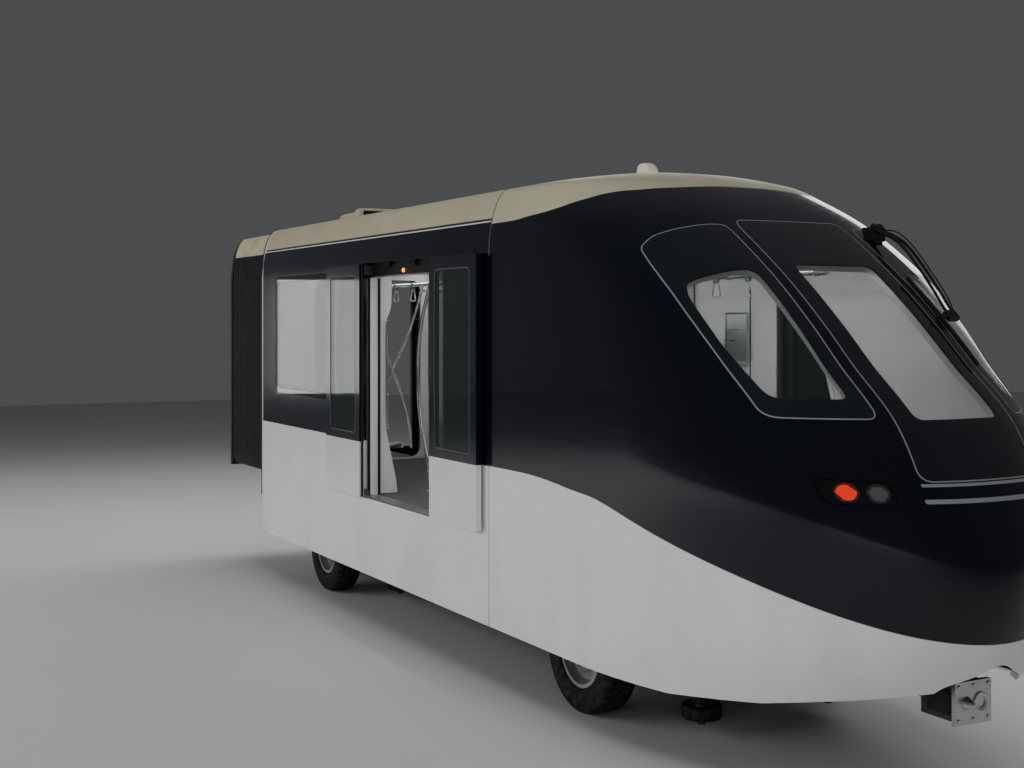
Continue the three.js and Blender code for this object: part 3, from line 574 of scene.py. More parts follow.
def within(a, b, outline):
    """Signed distance to a closed outline, positive inside: the least distance to its segments,
    with the sign from how often a line to the side crosses them."""
    start, end = outline, np.roll(outline, -1, axis=0)
    step = end - start
    points = np.stack([a, b], 1)[:, None]
    share = ((points - start) * step).sum(2) / np.maximum((step**2).sum(1), 1e-18)
    nearest = start + np.clip(share, 0, 1)[..., None] * step
    distance = np.linalg.norm(points - nearest, axis=2).min(1)
    low, high = np.minimum(start[:, 1], end[:, 1]), np.maximum(start[:, 1], end[:, 1])
    level = points[..., 1]
    rise = np.where(step[:, 1] == 0, 1e-12, step[:, 1])
    crossing = start[:, 0] + step[:, 0] * (level - start[:, 1]) / rise
    odd = ((level >= low) & (level < high) & (crossing > points[..., 0])).sum(1) % 2 == 1
    return np.where(odd, distance, -distance)


# Finishes of the body: deep gloss, white and cream paint over moulded panels, with a little dust
# and wear, a pale moulded lining inside, rubber seals and satin alloy trim.
gloss_dark = Finish("gloss_dark_paint", coat_weight=1.0, coat_roughness=0.03)
normal = gloss_dark.node("NewGeometry", {}, {}, "Normal")
facing_up = gloss_dark.ramp(gloss_dark.node("SeparateXYZ", {}, {0: normal}, "Z"), 0.45, 1.0)
clouds = gloss_dark.noise(2.2, 5.0) + gloss_dark.noise(7, 2.0, (0.25, 1, 3))
dust = (facing_up * clouds * 0.05).clipped()
gloss_dark.set("Base Color", gloss_dark.mix(dust, (0.0035, 0.0050, 0.0125), (0.06, 0.06, 0.065)))
gloss_dark.set("Roughness", 0.14 + gloss_dark.noise(14, 3.0) * 0.08 + dust)
gloss_dark.bump(gloss_dark.noise(5.5, 1.0), 0.0009)

white_paint = Finish("white_paint", coat_weight=0.5, coat_roughness=0.08)
grime = white_paint.ramp(white_paint.noise(3.0, 6.0, (1, 1, 0.35)), 0.45, 0.85)
low = 1 - white_paint.ramp(white_paint.axis("Z"), SKIRT_BOTTOM, 0.95)
white_paint.set("Base Color", white_paint.mix(
    (grime * 0.25 + low * 0.22 * grime).clipped(), (0.80, 0.81, 0.80), (0.50, 0.48, 0.44)))
white_paint.set("Roughness", 0.28 + grime * 0.18)
white_paint.bump(white_paint.noise(5.0, 1.0), 0.0006)

cream_paint = Finish("cream_roof_paint", coat_weight=0.15, coat_roughness=0.25)
weather = cream_paint.ramp(cream_paint.noise(1.6, 6.0, (0.5, 1.6, 1)), 0.35, 0.75)
specks = cream_paint.ramp(cream_paint.noise(60, 2.0), 0.62, 0.80)
cream_paint.set("Base Color", cream_paint.mix(
    (weather * 0.55 + specks * 0.25).clipped(), (0.53, 0.50, 0.37), (0.36, 0.335, 0.245)))
cream_paint.set("Roughness", 0.34 + weather * 0.16)
cream_paint.bump(cream_paint.noise(7.0, 2.0), 0.0010)

lining = Finish("moulded_lining")
lining.toned(lining.noise(4.0, 3.0), (0.74, 0.74, 0.72), (0.84, 0.84, 0.82))
lining.set("Roughness", 0.42 + lining.noise(40, 2.0) * 0.12)
lining.bump(lining.noise(420, 2.0), 0.0003)

seal_rubber = Finish("seal_rubber")
bloom = seal_rubber.noise(25, 4.0)
seal_rubber.toned(bloom, (0.012, 0.012, 0.013), (0.045, 0.045, 0.046), (0.50, 0.25))
seal_rubber.bump(seal_rubber.noise(300, 2.0), 0.0004)

satin_alloy = Finish("satin_alloy")
grain = satin_alloy.noise(60, 3.0, (0.06, 1, 1))
satin_alloy.toned(grain, (0.58, 0.59, 0.60), (0.74, 0.75, 0.76), (0.22, 0.16), (0.92, 0.06))
satin_alloy.bump(grain, 0.0002)

# Nose skins: a moulded cream roof tongue over the dark mask, and a white skirt below the belt
# line, bonded edge to edge with a narrow sealed joint between them.
TONGUE = [
    # x, half width, of the cream roof's edge seen from above
    (1.300, 1.180), (1.700, 1.1793), (1.838, 1.1778), (1.930, 1.1757), (2.023, 1.1718),
    (2.100, 1.1650), (2.180, 1.153), (2.289, 1.122),
    (2.382, 1.070), (2.461, 1.010), (2.512, 0.948), (2.595, 0.846), (2.692, 0.714),
    (2.771, 0.475), (2.776, 0.172), (2.776, -0.5), (1.300, -0.5),
]
BELT = np.array([
    # x, z
    [1.200, 1.585], [2.000, 1.585], [2.562, 1.540], [3.000, 1.488], [4.075, 1.229],
    [4.927, 0.967], [5.185, 0.890],
])
CHIN = np.array([[1.3, 0.43], [3.5, 0.43], [4.1, 0.49], [4.6, 0.59], [4.9, 0.66], [5.3, 0.70]])
COUPLER_ARCH = [
    # |y|, z
    (0.320, 0.30), (0.319, 0.58), (0.292, 0.672), (0.225, 0.714), (0.140, 0.748), (0.065, 0.786),
    (0.0, 0.801), (-0.065, 0.786),
]
CENTRE_PANE = rectangle((-0.435, 0.435), (1.78, 3.270), 0.075)
CENTRE_CLEAR = rectangle((-0.31, 0.31), (2.095, 2.977), 0.055)
CORNER_PANE = rounded([
    # |y|, z, from the inner bottom corner outwards and up
    (0.505, 2.100), (0.965, 2.100), (1.011, 2.408), (1.037, 2.560), (1.058, 2.724),
    (1.073, 2.886), (1.071, 2.990), (1.058, 3.085), (0.968, 3.158), (0.858, 3.195),
    (0.735, 3.222), (0.620, 3.236), (0.505, 3.236),
], [0.06, 0.06, 0.04, 0.04, 0.04, 0.04, 0.04, 0.035, 0.04, 0.04, 0.04, 0.04, 0.05])
CORNER_CLEAR = rounded([
    (0.590, 2.205), (0.915, 2.205), (0.959, 2.400), (0.986, 2.509), (1.002, 2.648),
    (1.014, 2.775), (0.994, 2.856), (0.919, 2.890), (0.804, 2.922), (0.690, 2.942),
    (0.590, 2.942),
], [0.05, 0.05, 0.03, 0.03, 0.03, 0.04, 0.035, 0.03, 0.03, 0.03, 0.06])
LAMP_COVER = rounded([(0.555, 1.66), (0.83, 1.66), (0.865, 1.79), (0.57, 1.79)], 0.03)
TONGUE_ABOVE_Z, PANES_AHEAD_X, ARCH_AHEAD_X = 3.25, 2.6, 3.5
NOSE_REFINE = (0.040, 0.020)
JOINT = 0.003
SKIN_DEPTH = 0.045

belt = smooth_table(BELT, np.linspace(0, 1, 200))
tongue = np.array(TONGUE)
tongue = np.concatenate([smooth_table(tongue[:-2], np.linspace(0, 1, 70)), tongue[-2:]])
arch_line = smooth_table(np.array(COUPLER_ARCH), np.linspace(0, 1, 60))
coupler_arch = np.concatenate([arch_line, [(-0.4, 0.786), (-0.4, 0.30)]])


def nose_fields(skin):
    """Metres inside the roof tongue, each kind of pane, its clear middle, the lamp cover and the
    coupler's arch, and above the belt line and the chin, at each point of the nose."""
    x, y, z = skin.points.T
    side = np.abs(y)
    windows = [(y, CENTRE_PANE), (y, CENTRE_CLEAR), (side, CORNER_PANE), (side, CORNER_CLEAR),
               (side, LAMP_COVER)]
    fields = [np.where(z > TONGUE_ABOVE_Z, within(x, side, tongue), -1.0)]
    fields += [np.where(x > PANES_AHEAD_X, within(across, z, outline), -1.0)
               for across, outline in windows]
    fields.append(np.where(x > ARCH_AHEAD_X, within(side, z, coupler_arch), -1.0))
    heights = [z - np.interp(x, line[:, 0], line[:, 1]) for line in (belt, CHIN)]
    return [skin.evened(field) for field in fields] + heights


for reach in NOSE_REFINE:
    nearest = np.min(np.abs(nose_fields(nose)), axis=0)
    nose = nose.finer(nearest < reach)
(on_tongue, centre_pane, centre_clear, corner_pane, corner_clear, lamp_cover,
 arch, above_belt, above_chin) = nose_fields(nose)
nose_x, nose_y, nose_z = nose.points.T
nose_side = np.abs(nose_y)
forward = nose_x > PANES_AHEAD_X
behind = nose_x - SEAM_X - JOINT
roof_tongue = nose.where(on_tongue - JOINT, behind)
panel("cab_roof_skin", roof_tongue, SKIN_DEPTH, [cream_paint, lining], slot="white_paint",
      replaces=["cab_roof"])
skirt = nose.where(-above_belt - JOINT, above_chin - 0.001, -arch, behind)
panel("nose_skirt_skin", skirt, SKIN_DEPTH, [white_paint, seal_rubber], slot="white_paint",
      replaces=["nose_skirt"])

# Window panes: dark bonded glass level with the mask, each with a thin light trim round it, a
# black printed border and a clear middle, whose reveal inside is a light moulding.
TRIM, TRIM_DEPTH = 0.0065, 0.010
PANE_GAP = 0.0036
GLASS_DEPTH = 0.012
REVEAL_WIDTH, REVEAL_DEPTH = 0.012, 0.033
SURROUND_SET_BACK, SURROUND_DEPTH = 0.004, 0.006
INNER_FACE = 0.0465  # how far inside the outer face the linings start

printed_border = Finish("printed_glass_border", roughness=0.03, coat_weight=1.0,
                        coat_roughness=0.015)
printed_border.toned(printed_border.noise(6.0, 4.0), (0.008, 0.010, 0.014), (0.022, 0.026, 0.032))


def tinted(name, tint, clearness):
    """Glass as a thin film: clear face on, closing with the cube of how far it turns away."""
    glass = Finish(name, ior=1.7, coat_weight=1.0, coat_roughness=0.01)
    smear = glass.noise(3.0, 4.0)
    glass.set("Base Color", glass.mix(smear, tint, tuple(1.5 * value for value in tint)))
    glass.set("Roughness", 0.02 + smear * 0.03)
    turned_away = glass.node("LayerWeight", {}, {"Blend": 0.35}, "Facing")
    grazing = turned_away * turned_away * turned_away
    glass.set("Alpha", ((1 - clearness) + grazing * 0.8 + smear * 0.05).clipped())
    return glass


clear_glass = tinted("nose_glass", (0.020, 0.026, 0.028), 0.80)
side_glass = tinted("side_glass", (0.040, 0.050, 0.050), 0.62)

light_trim = Finish("light_trim")
light_trim.toned(light_trim.noise(30, 3.0), (0.40, 0.42, 0.43), (0.54, 0.56, 0.57), (0.30, 0.1),
                 (0.4, 0.2))

NOSE_SIDES = {"right": -nose_y, "left": nose_y}
for name, pane, clear, half in [
    ("windscreen", centre_pane, centre_clear, np.ones(len(nose_y))),
    ("corner_window_right", corner_pane, corner_clear, NOSE_SIDES["right"]),
    ("corner_window_left", corner_pane, corner_clear, NOSE_SIDES["left"]),
]:
    here = np.where(half > 0, 1.0, -1.0)
    rim = nose.where(here, pane, TRIM - pane)
    panel(name + "_trim", rim, TRIM_DEPTH, light_trim, slot="glazing")
    border = nose.where(here, pane - TRIM - PANE_GAP, -clear - PANE_GAP / 2)
    panel(name + "_border", border, GLASS_DEPTH, printed_border, slot="glazing", replaces=[name])
    middle = nose.where(here, clear - PANE_GAP / 2)
    panel(name + "_glass", middle, GLASS_DEPTH, clear_glass, slot="glazing")
    reveal = nose.where(here, -clear, clear + REVEAL_WIDTH)
    panel(name + "_reveal", reveal.lowered(GLASS_DEPTH + 0.0005), REVEAL_DEPTH, lining,
          slot="lining")
    surround = nose.where(here, pane + SURROUND_SET_BACK, -clear - SURROUND_SET_BACK)
    panel(name + "_surround", surround.lowered(INNER_FACE), SURROUND_DEPTH, lining, slot="lining")

# Head and tail lamps: a smoked cover each side over two round lamps, the outer one red, and
# two thin light bands across the front between them.
LAMPS = [
    # name, |y|, z, ring radius, lens radius
    ("tail", 0.752, 1.725, 0.052, 0.042),
    ("head", 0.630, 1.723, 0.052, 0.042),
]
BANDS_Z = [(1.672, 1.694), (1.757, 1.772)]
BAND_HALF = 0.433
COVER_DEPTH, TRAY_DEPTH = 0.004, 0.03
RING_DEPTH, LENS_DEPTH, LENS_GAP = 0.020, 0.012, 0.004

smoked = tinted("smoked_cover", (0.010, 0.010, 0.012), 0.70)
reflector = Finish("lamp_reflector", roughness=0.12)
reflector.toned(reflector.noise(80, 2.0), (0.55, 0.56, 0.58), (0.85, 0.86, 0.88),
                metallic=(0.85, 0.1))
red_lens = Finish("red_lens", emission_strength=1.6, coat_weight=1.0)
prisms = red_lens.noise(160, 1.0)
red_lens.toned(prisms, (0.45, 0.01, 0.01), (0.65, 0.02, 0.02), (0.12, 0.1))
red_lens.set("Emission Color", red_lens.mix(prisms, (0.9, 0.02, 0.01), (1.0, 0.10, 0.05)))
white_lens = Finish("white_lens", coat_weight=1.0)
white_lens.toned(white_lens.noise(160, 1.0), (0.55, 0.58, 0.60), (0.80, 0.83, 0.85), (0.08, 0.1),
                 (0.0, 0.4))
for side, half in NOSE_SIDES.items():
    here = np.where(half > 0, 1.0, -1.0)
    cover = nose.where(here, lamp_cover - PANE_GAP)
    panel(f"lamp_cover_{side}", cover, COVER_DEPTH, smoked, slot="lamp_lens",
          replaces=[f"lamp_cluster_{side}"])
    panel(f"lamp_tray_{side}", cover.lowered(0.030), TRAY_DEPTH, seal_rubber, slot="lamp_lens")
    for name, y, z, ring, lens in LAMPS:
        around = np.where(forward & (half > 0), np.hypot(nose_side - y, nose_z - z), 1.0)
        around = nose.evened(around - lens) + lens
        bezel = nose.where(here, ring - around, around - lens)
        panel(f"{name}_lamp_ring_{side}", bezel.lowered(0.010), RING_DEPTH, reflector,
              slot="lamp_lens")
        glass = nose.where(here, lens - LENS_GAP - around).lowered(0.013)
        panel(f"{name}_lamp_lens_{side}", glass, LENS_DEPTH,
              red_lens if name == "tail" else white_lens, slot="lamp_lens")
front = nose.where(nose_x - 4.5, nose_z - 1.5, 2.0 - nose_z)
for _ in range(2):
    front = front.finer(np.ones(len(front.points), bool))
for number, (low_z, high_z) in enumerate(BANDS_Z, 1):
    outline = np.array([(-BAND_HALF, low_z), (BAND_HALF, low_z), (BAND_HALF, high_z),
                        (-BAND_HALF, high_z)])
    across = front.where(within(*front.points[:, [1, 2]].T, outline))
    panel(f"front_band_{number}", across.lowered(-0.001), 0.006, light_trim, slot="lamp_lens")

# Cab mask: the dark moulding round the panes, from the belt line up to the roof tongue, bonded to
# the frame and lined in a light moulding.
mask = nose.where(behind, above_belt - JOINT, -on_tongue - JOINT, -centre_pane - 0.003,
                  -corner_pane - 0.003, -lamp_cover - 0.001)
panel("cab_mask_skin", mask, SKIN_DEPTH, [gloss_dark, lining],
      slot="body_paint", replaces=["cab_mask"])

# Nose side linings: inside each wall of the nose, a smoked sheet of plastic clipped into a slim
# frame of the same light moulding as the rest.
SIDE_PANEL = rounded([(1.74, 1.62), (2.52, 1.62), (2.15, 2.72), (1.74, 2.80)], 0.06)
SIDE_FRAME_WIDTH, SIDE_FRAME_DEPTH = 0.034, 0.016
smoked_panel = Finish("smoked_panel", roughness=0.06, coat_weight=1.0)
smoked_panel.toned(smoked_panel.noise(5.0, 3.0), (0.012, 0.014, 0.015), (0.040, 0.045, 0.045))


def inside_outline(skin, first, second, outline, refine=(0.05, 0.025)):
    """The skin with finer triangles along an outline, and the distance field inside it."""
    for reach in refine:
        field = within(skin.points[:, first], skin.points[:, second], outline)
        skin = skin.finer(np.abs(field) < reach)
    return skin, within(skin.points[:, first], skin.points[:, second], outline)


for side, half in NOSE_SIDES.items():
    rear = nose.where(half - 0.4, 2.75 - nose_x, nose_x - 1.6, nose_z - 1.5, 2.95 - nose_z)
    rear, field = inside_outline(rear, 0, 2, SIDE_PANEL, (0.03, 0.015))
    panel(f"nose_side_glass_{side}", rear.where(field).lowered(INNER_FACE), 0.005, smoked_panel,
          slot="glazing")
    frame_part = rear.where(-field - 0.001, field + SIDE_FRAME_WIDTH)
    panel(f"nose_side_frame_{side}", frame_part.lowered(INNER_FACE), SIDE_FRAME_DEPTH, lining,
          slot="lining")

# Side walls: a gloss dark band along the windows and white panels below it, screwed to the frame
# from behind, with joints between them. The cantrail above curves in to the roof's edge.
SIDES = (("right", -1), ("left", 1))
WALL_X = (-3.807, SEAM_X - JOINT)
WALL_TOP = 3.346
BAND_BOTTOM = 1.585
PANEL_JOINTS_X = [-2.62, -1.35]
PANEL_GAP = 0.0025
WALL_DEPTH = 0.055
WALL_COLUMNS, WALL_STEP = 72, 0.07
doorway = rectangle((-1.043, 0.617), (1.092, 3.130), 0.025)
side_window = rectangle((-3.400, -1.150), (1.900, 3.075), 0.07)
window_clear = rectangle((-3.345, -1.205), (1.955, 3.020), 0.05)


def grid_skin(first, second, shape, outward):
    """A surface that is a function of two parameters, worked out on the grid of their values,
    with its triangles facing along the outward vector on the whole."""
    a, b = np.meshgrid(first, second, indexing="ij")
    points = np.stack([part + 0 * a for part in shape(a, b)], -1)
    skin = Skin(*welded(points.reshape(-1, 3), triangles(grid_faces(*points.shape[:2]))))
    if (skin.normals @ np.array(outward)).sum() < 0:
        skin = Skin(skin.points, skin.faces[:, ::-1])
    return skin


walls = {}
for side, sign in SIDES:
    heights = np.concatenate([np.arange(SKIRT_BOTTOM, SHOULDER_Z, WALL_STEP),
                              np.linspace(SHOULDER_Z, WALL_TOP, 9)])
    wall = grid_skin(np.linspace(*WALL_X, WALL_COLUMNS), heights,
                     lambda x, z: (x, sign * half_width(z), z), (0, sign, 0))
    wall, _ = inside_outline(wall, 0, 2, doorway)
    wall, in_window = inside_outline(wall, 0, 2, side_window)
    walls[side] = (wall, in_window)
    x, _, z = wall.points.T
    in_doorway = within(x, z, doorway)
    band = wall.where(z - BAND_BOTTOM - JOINT, -in_doorway - 0.002, -in_window - 0.003)
    panel(f"side_band_{side}", band, WALL_DEPTH, [gloss_dark, lining], slot="body_paint",
          replaces=[f"side_wall_{side}"])
    ends = [WALL_X[0], *PANEL_JOINTS_X, WALL_X[1]]
    panels = [wall.where(BAND_BOTTOM - JOINT - z, -in_doorway - 0.002, x - start - PANEL_GAP,
                         end - PANEL_GAP - x) for start, end in zip(ends, ends[1:])]
    panel(f"side_panels_{side}", panels, WALL_DEPTH, [white_paint, lining], slot="white_paint",
          replaces=[f"side_wall_{side}"])

# Side windows: one wide pane each side, bonded flush in the dark band, with a black printed
# border round its clear part and a light moulded reveal inside.
SIDE_GLASS_DEPTH = 0.008
for side, _ in SIDES:
    wall, in_window = walls[side]
    pane = wall.where(in_window - 0.002)
    pane, clear = inside_outline(pane, 0, 2, window_clear, (0.04,))
    panel(f"side_window_border_{side}", pane.where(-clear - 0.002), SIDE_GLASS_DEPTH,
          printed_border, slot="glazing", replaces=[f"rear_side_window_{side}"])
    panel(f"side_window_glass_{side}", pane.where(clear - 0.002), SIDE_GLASS_DEPTH, side_glass,
          slot="glazing")
    edge = wall.where(in_window - 0.001, 0.014 - in_window)
    panel(f"side_window_reveal_{side}", edge.lowered(0.0095), 0.048, lining, slot="lining")

# Module joint: a groove all round the body where the nose is bolted to the saloon, filled with
# black sealant, with a bright bead of alloy pressed into its upper part.
ROOF_EDGE_Z = 3.352
CORNER_POINTS, ROOF_POINTS = 24, 60


def section_line(low_z, inset=0.0, step=0.03):
    """Points (y, z) of the body's section, up one wall, over the roof and down the other. They
    lie on the wall and corner curves by height and on the roof's arc by breadth, and an inset
    moves each along its normal."""
    z = np.concatenate([np.arange(low_z, SHOULDER_Z, step), corner_curve(CORNER_POINTS)[:, 1]])
    wall_part = np.stack([half_width(z), z], 1)
    y = np.linspace(KNEE[0], -KNEE[0], ROOF_POINTS)[1:-1]
    arc = np.stack([y, CROWN_Z - ROOF_RADIUS + np.sqrt(ROOF_RADIUS**2 - y**2)], 1)
    line = np.concatenate([wall_part, arc, wall_part[::-1] * [-1, 1]])
    step_along = np.gradient(line, axis=0)
    normal = np.stack([step_along[:, 1], -step_along[:, 0]], 1)
    normal /= np.linalg.norm(normal, axis=1, keepdims=True)
    return line - inset * normal, normal


def band_round(low_z, x_from, x_to, out, depth, name, finish, slot):
    """A strip that wraps the section, with a crowned face: its profile across is half an ellipse
    that stands out by `out`, carried along the section line."""
    line, normal = section_line(low_z)
    t = np.linspace(0, np.pi, 7)
    across = (x_from + x_to) / 2 - (x_to - x_from) / 2 * np.cos(t)
    rise = out * np.sin(t)
    base = np.array([[x_to, -depth], [x_from, -depth]])
    profile = np.concatenate([np.stack([across, rise], 1), base])
    y = line[:, None, 0] + normal[:, None, 0] * profile[None, :, 1]
    z = line[:, None, 1] + normal[:, None, 1] * profile[None, :, 1]
    points = np.stack([np.broadcast_to(profile[None, :, 0], y.shape), y, z], -1)
    rows, columns = points.shape[:2]
    faces = grid_faces(rows, columns, round_columns=True)
    caps = np.stack([np.arange(columns), (rows - 1) * columns + np.arange(columns)[::-1]])
    return piece(name, points.reshape(-1, 3), [faces[:, ::-1], caps], finish, slot=slot)


band_round(SKIRT_BOTTOM, SEAM_X - 0.005, SEAM_X + 0.004, -0.004, 0.03, "module_joint_seal",
           seal_rubber, "bellows")
band_round(ROOF_EDGE_Z, SEAM_X - 0.006, SEAM_X + 0.005, 0.0025, 0.006, "module_joint_bead",
           satin_alloy, "bright_metal")

# Saloon roof: one moulded cream skin over the corner curves and the crown, with pressed beads
# across it, and a round lip of a gutter bonded over each side, whose white paint is a painted
# highlight that stands in for the bright reflection along the cantrail.
BEADS_X = [-3.55, -2.55, -1.55, -0.55, 0.45]
BEAD_WIDTH, BEAD_DEPTH = 0.030, 0.004
ROOF_COLUMNS, ROOF_ROWS = 83, 60
GUTTER_Y, GUTTER_Z = 1.173, 3.3495
GUTTER_HALVES = (0.009, 0.0065)


def roof_shape(t, x):
    """The section line from gutter to gutter, sunk by a narrow cosine groove at each bead."""
    line, normal = section_line(ROOF_EDGE_Z, step=1)
    keep = line[:, 1] >= ROOF_EDGE_Z
    line, normal = line[keep], normal[keep]
    along = np.linspace(0, 1, len(line))
    sink = 0 * x
    for place in BEADS_X:
        near = np.clip(np.abs(x - place) / (BEAD_WIDTH / 2), 0, 1)
        sink = sink + BEAD_DEPTH * (1 + np.cos(np.pi * near)) / 2
    y = np.interp(t, along, line[:, 0]) - sink * np.interp(t, along, normal[:, 0])
    z = np.interp(t, along, line[:, 1]) - sink * np.interp(t, along, normal[:, 1])
    return x, y, z


def bar(section, start, end):
    """A straight bar: the closed section's points (rows of offsets in the two axes across)
    at both ends, with a cap on each."""
    start, end = np.array(start, float), np.array(end, float)
    along = (end - start) / np.linalg.norm(end - start)
    guess = np.array([0, 0, 1.0]) if abs(along[2]) < 0.9 else np.array([1.0, 0, 0])
    across = np.cross(guess, along)
    across /= np.linalg.norm(across)
    up = np.cross(along, across)
    ring = section[:, :1] * across + section[:, 1:] * up
    points = np.concatenate([start + ring, end + ring])
    count = len(section)
    caps = np.stack([np.arange(count)[::-1], count + np.arange(count)])
    return points, [grid_faces(2, count, round_columns=True), caps]


across_bead = np.linspace(-BEAD_WIDTH / 2, BEAD_WIDTH / 2, 7)
stations = np.sort(np.concatenate([
    np.linspace(*WALL_X, ROOF_ROWS), *[place + across_bead for place in BEADS_X]]))
roof_skin = grid_skin(np.linspace(0, 1, ROOF_COLUMNS), stations, roof_shape, (0, 0, 1))
panel("saloon_roof_skin", roof_skin, 0.05, [cream_paint, lining], slot="white_paint",
      replaces=["roof"])
turn = np.linspace(0, 2 * np.pi, 12, endpoint=False)
lip = np.stack([np.cos(turn), np.sin(turn)], 1) * GUTTER_HALVES
for side, sign in SIDES:
    rear, ahead = [(x, sign * GUTTER_Y, GUTTER_Z) for x in (WALL_X[0] + 0.02, WALL_X[1] - 0.01)]
    # The lip's white paint is a painted highlight: the cantrail's bright reflection.
    piece(f"gutter_lip_painted_highlight_{side}", *bar(lip, rear, ahead), white_paint, slot="white_paint")

# Lifting points: small covers of bright alloy with round edges, screwed on in pairs along the
# crown of the roof.
LIFTING_X = [-2.732, -2.608, -2.041, -1.761, -0.877, 0.156]
LIFTING_Y = 0.370
LIFTING_HALF, LIFTING_WIDTH, LIFTING_HEIGHT = 0.045, 0.050, 0.012


def soft_box(width, height, radius=0.004):
    """A rectangle with round corners, for a bar's section."""
    return rectangle((-width / 2, width / 2), (-height / 2, height / 2), radius)[::2]


def joined(*parts):
    """Several (points, faces) as one mesh."""
    points, faces, start = [], [], 0
    for part_points, part_faces in parts:
        part_faces = part_faces if isinstance(part_faces, list) else [part_faces]
        points.append(part_points)
        faces += [face + start for face in part_faces]
        start += len(part_points)
    return np.concatenate(points), faces


covers = []
for x in LIFTING_X:
    for y in (-LIFTING_Y, LIFTING_Y):
        z = CROWN_Z - ROOF_RADIUS + math.sqrt(ROOF_RADIUS**2 - y**2) + 0.002
        section = soft_box(LIFTING_WIDTH, LIFTING_HEIGHT, 0.003)
        covers.append(bar(section, (x - LIFTING_HALF, y, z), (x + LIFTING_HALF, y, z)))
piece("roof_lifting_covers", *joined(*covers), satin_alloy, slot="bright_metal")

# Gangway: folded rubberised cloth round the passage, black at the sides and cream over the top,
# each fold stitched over a hoop, between the end wall and the end frame.
GANGWAY_X = (-5.023, -3.873)
GANGWAY_FOLDS, FOLD_STEPS = 11, 6
FOLD_DEPTH, FOLD_POWER = 0.062, 0.55
TOP_SHALLOWER = 0.80  # share by which the folds are shallower over the top
RIPPLE = 0.0015
CLOTH = 0.030
GANGWAY_INSET = 0.034
GANGWAY_BOTTOM = 1.012


def gangway_ring():
    """The closed outline of the cloth: the body's section set in, closed by a straight floor
    side with rounded corners, as 2D points with their outward normals."""
    line, _ = section_line(GANGWAY_BOTTOM, GANGWAY_INSET, 0.09)
    y = np.linspace(line[-1, 0], line[0, 0], 16)[1:-1]
    ring = np.concatenate([line, np.stack([y, GANGWAY_BOTTOM + 0 * y], 1)])
    smooth = (np.roll(ring, 1, axis=0) + 2 * ring + np.roll(ring, -1, axis=0)) / 4
    step = np.roll(smooth, -1, axis=0) - np.roll(smooth, 1, axis=0)
    normal = np.stack([step[:, 1], -step[:, 0]], 1)
    return smooth, normal / np.linalg.norm(normal, axis=1, keepdims=True)


ring, ring_normal = gangway_ring()
steps = GANGWAY_FOLDS * FOLD_STEPS
share = np.linspace(0, 1, steps + 1)
wave = np.abs(np.sin(np.pi * GANGWAY_FOLDS * share)) ** FOLD_POWER
ripple = RIPPLE * np.sin(40 * ring[:, 1] + 9 * ring[:, 0])
on_top = np.clip((ring[:, 1] - 3.30) / 0.10, 0, 1)
depth_here = FOLD_DEPTH * (1 - TOP_SHALLOWER * on_top)
sink = (1 - wave)[:, None] * depth_here[None] + ripple[None] * (1 - wave)[:, None]
gangway_x = (GANGWAY_X[0] + (GANGWAY_X[1] - GANGWAY_X[0]) * share)[:, None]
layers = []
for extra, order in ((0.0, slice(None)), (CLOTH, slice(None, None, -1))):
    y = ring[None, :, 0] - ring_normal[None, :, 0] * (sink + extra)
    z = ring[None, :, 1] - ring_normal[None, :, 1] * (sink + extra)
    layers.append(np.stack([gangway_x + 0 * y, y, z], -1)[order])
points = np.concatenate(layers)
faces = grid_faces(*points.shape[:2], round_columns=True, round_rows=True)
middle_z = points.reshape(-1, 3)[faces][:, :, 2].mean(1)
hood = (middle_z > WALL_TOP) & (np.arange(len(faces)) < steps * len(ring))
black_cloth = Finish("black_gangway_cloth")
black_cloth.toned(black_cloth.noise(18, 4.0), (0.014, 0.015, 0.016), (0.050, 0.052, 0.055),
                  (0.30, 0.22))
black_cloth.bump(black_cloth.noise(900, 1.0), 0.0003)
cream_cloth = Finish("cream_gangway_cloth")
hood_tone = cream_cloth.ramp(cream_cloth.noise(5, 5.0), 0.35, 0.75)
cream_cloth.toned(hood_tone, (0.56, 0.53, 0.40), (0.39, 0.36, 0.26), (0.55, 0.2))
cream_cloth.bump(cream_cloth.noise(700, 1.0), 0.0003)
piece("gangway_cloth", points.reshape(-1, 3), faces, [black_cloth, cream_cloth],
      slot="bellows", replaces=["gangway_bellows"], marks=hood.astype(int), sharp=70)

# Door leaves: plug doors of bonded glass in a thin alloy frame, dark above and white below the
# belt. The right pair stands open, slid outside the wall; the left pair is shut.
LEAVES = [
    # name, x from, x to, outer y, depth, leading edge: +1 at its front end
    ("right_front", 0.496, 1.322, -1.266, 0.044, -1),
    ("right_rear", -1.748, -0.922, -1.266, 0.044, 1),
    ("left_front", -0.211, 0.615, 1.200, 0.058, -1),
    ("left_rear", -1.041, -0.215, 1.200, 0.058, 1),
]
LEAF_Z = (1.098, 3.124)
LEAF_WINDOW_Z = (1.650, 3.030)
LEAF_WINDOW_INSET = 0.105
EDGE_SEAL = 0.014

leaf_paint = Finish("leaf_paint", coat_weight=1.0, coat_roughness=0.04)
leaf_upper = leaf_paint.axis("Z") > BAND_BOTTOM
leaf_haze = leaf_paint.noise(5, 4.0)
leaf_paint.set("Base Color", leaf_paint.mix(
    leaf_upper,
    leaf_paint.mix(leaf_haze, (0.79, 0.80, 0.79), (0.72, 0.72, 0.70)),
    leaf_paint.mix(leaf_haze, (0.006, 0.008, 0.016), (0.016, 0.018, 0.026))))
leaf_paint.set("Roughness", 0.12 + leaf_haze * 0.12)

pane_frame = Finish("pane_frame")
pane_frame.toned(pane_frame.noise(30, 3.0), (0.13, 0.135, 0.14), (0.22, 0.225, 0.23), (0.30, 0.1),
                 (0.4, 0.2))

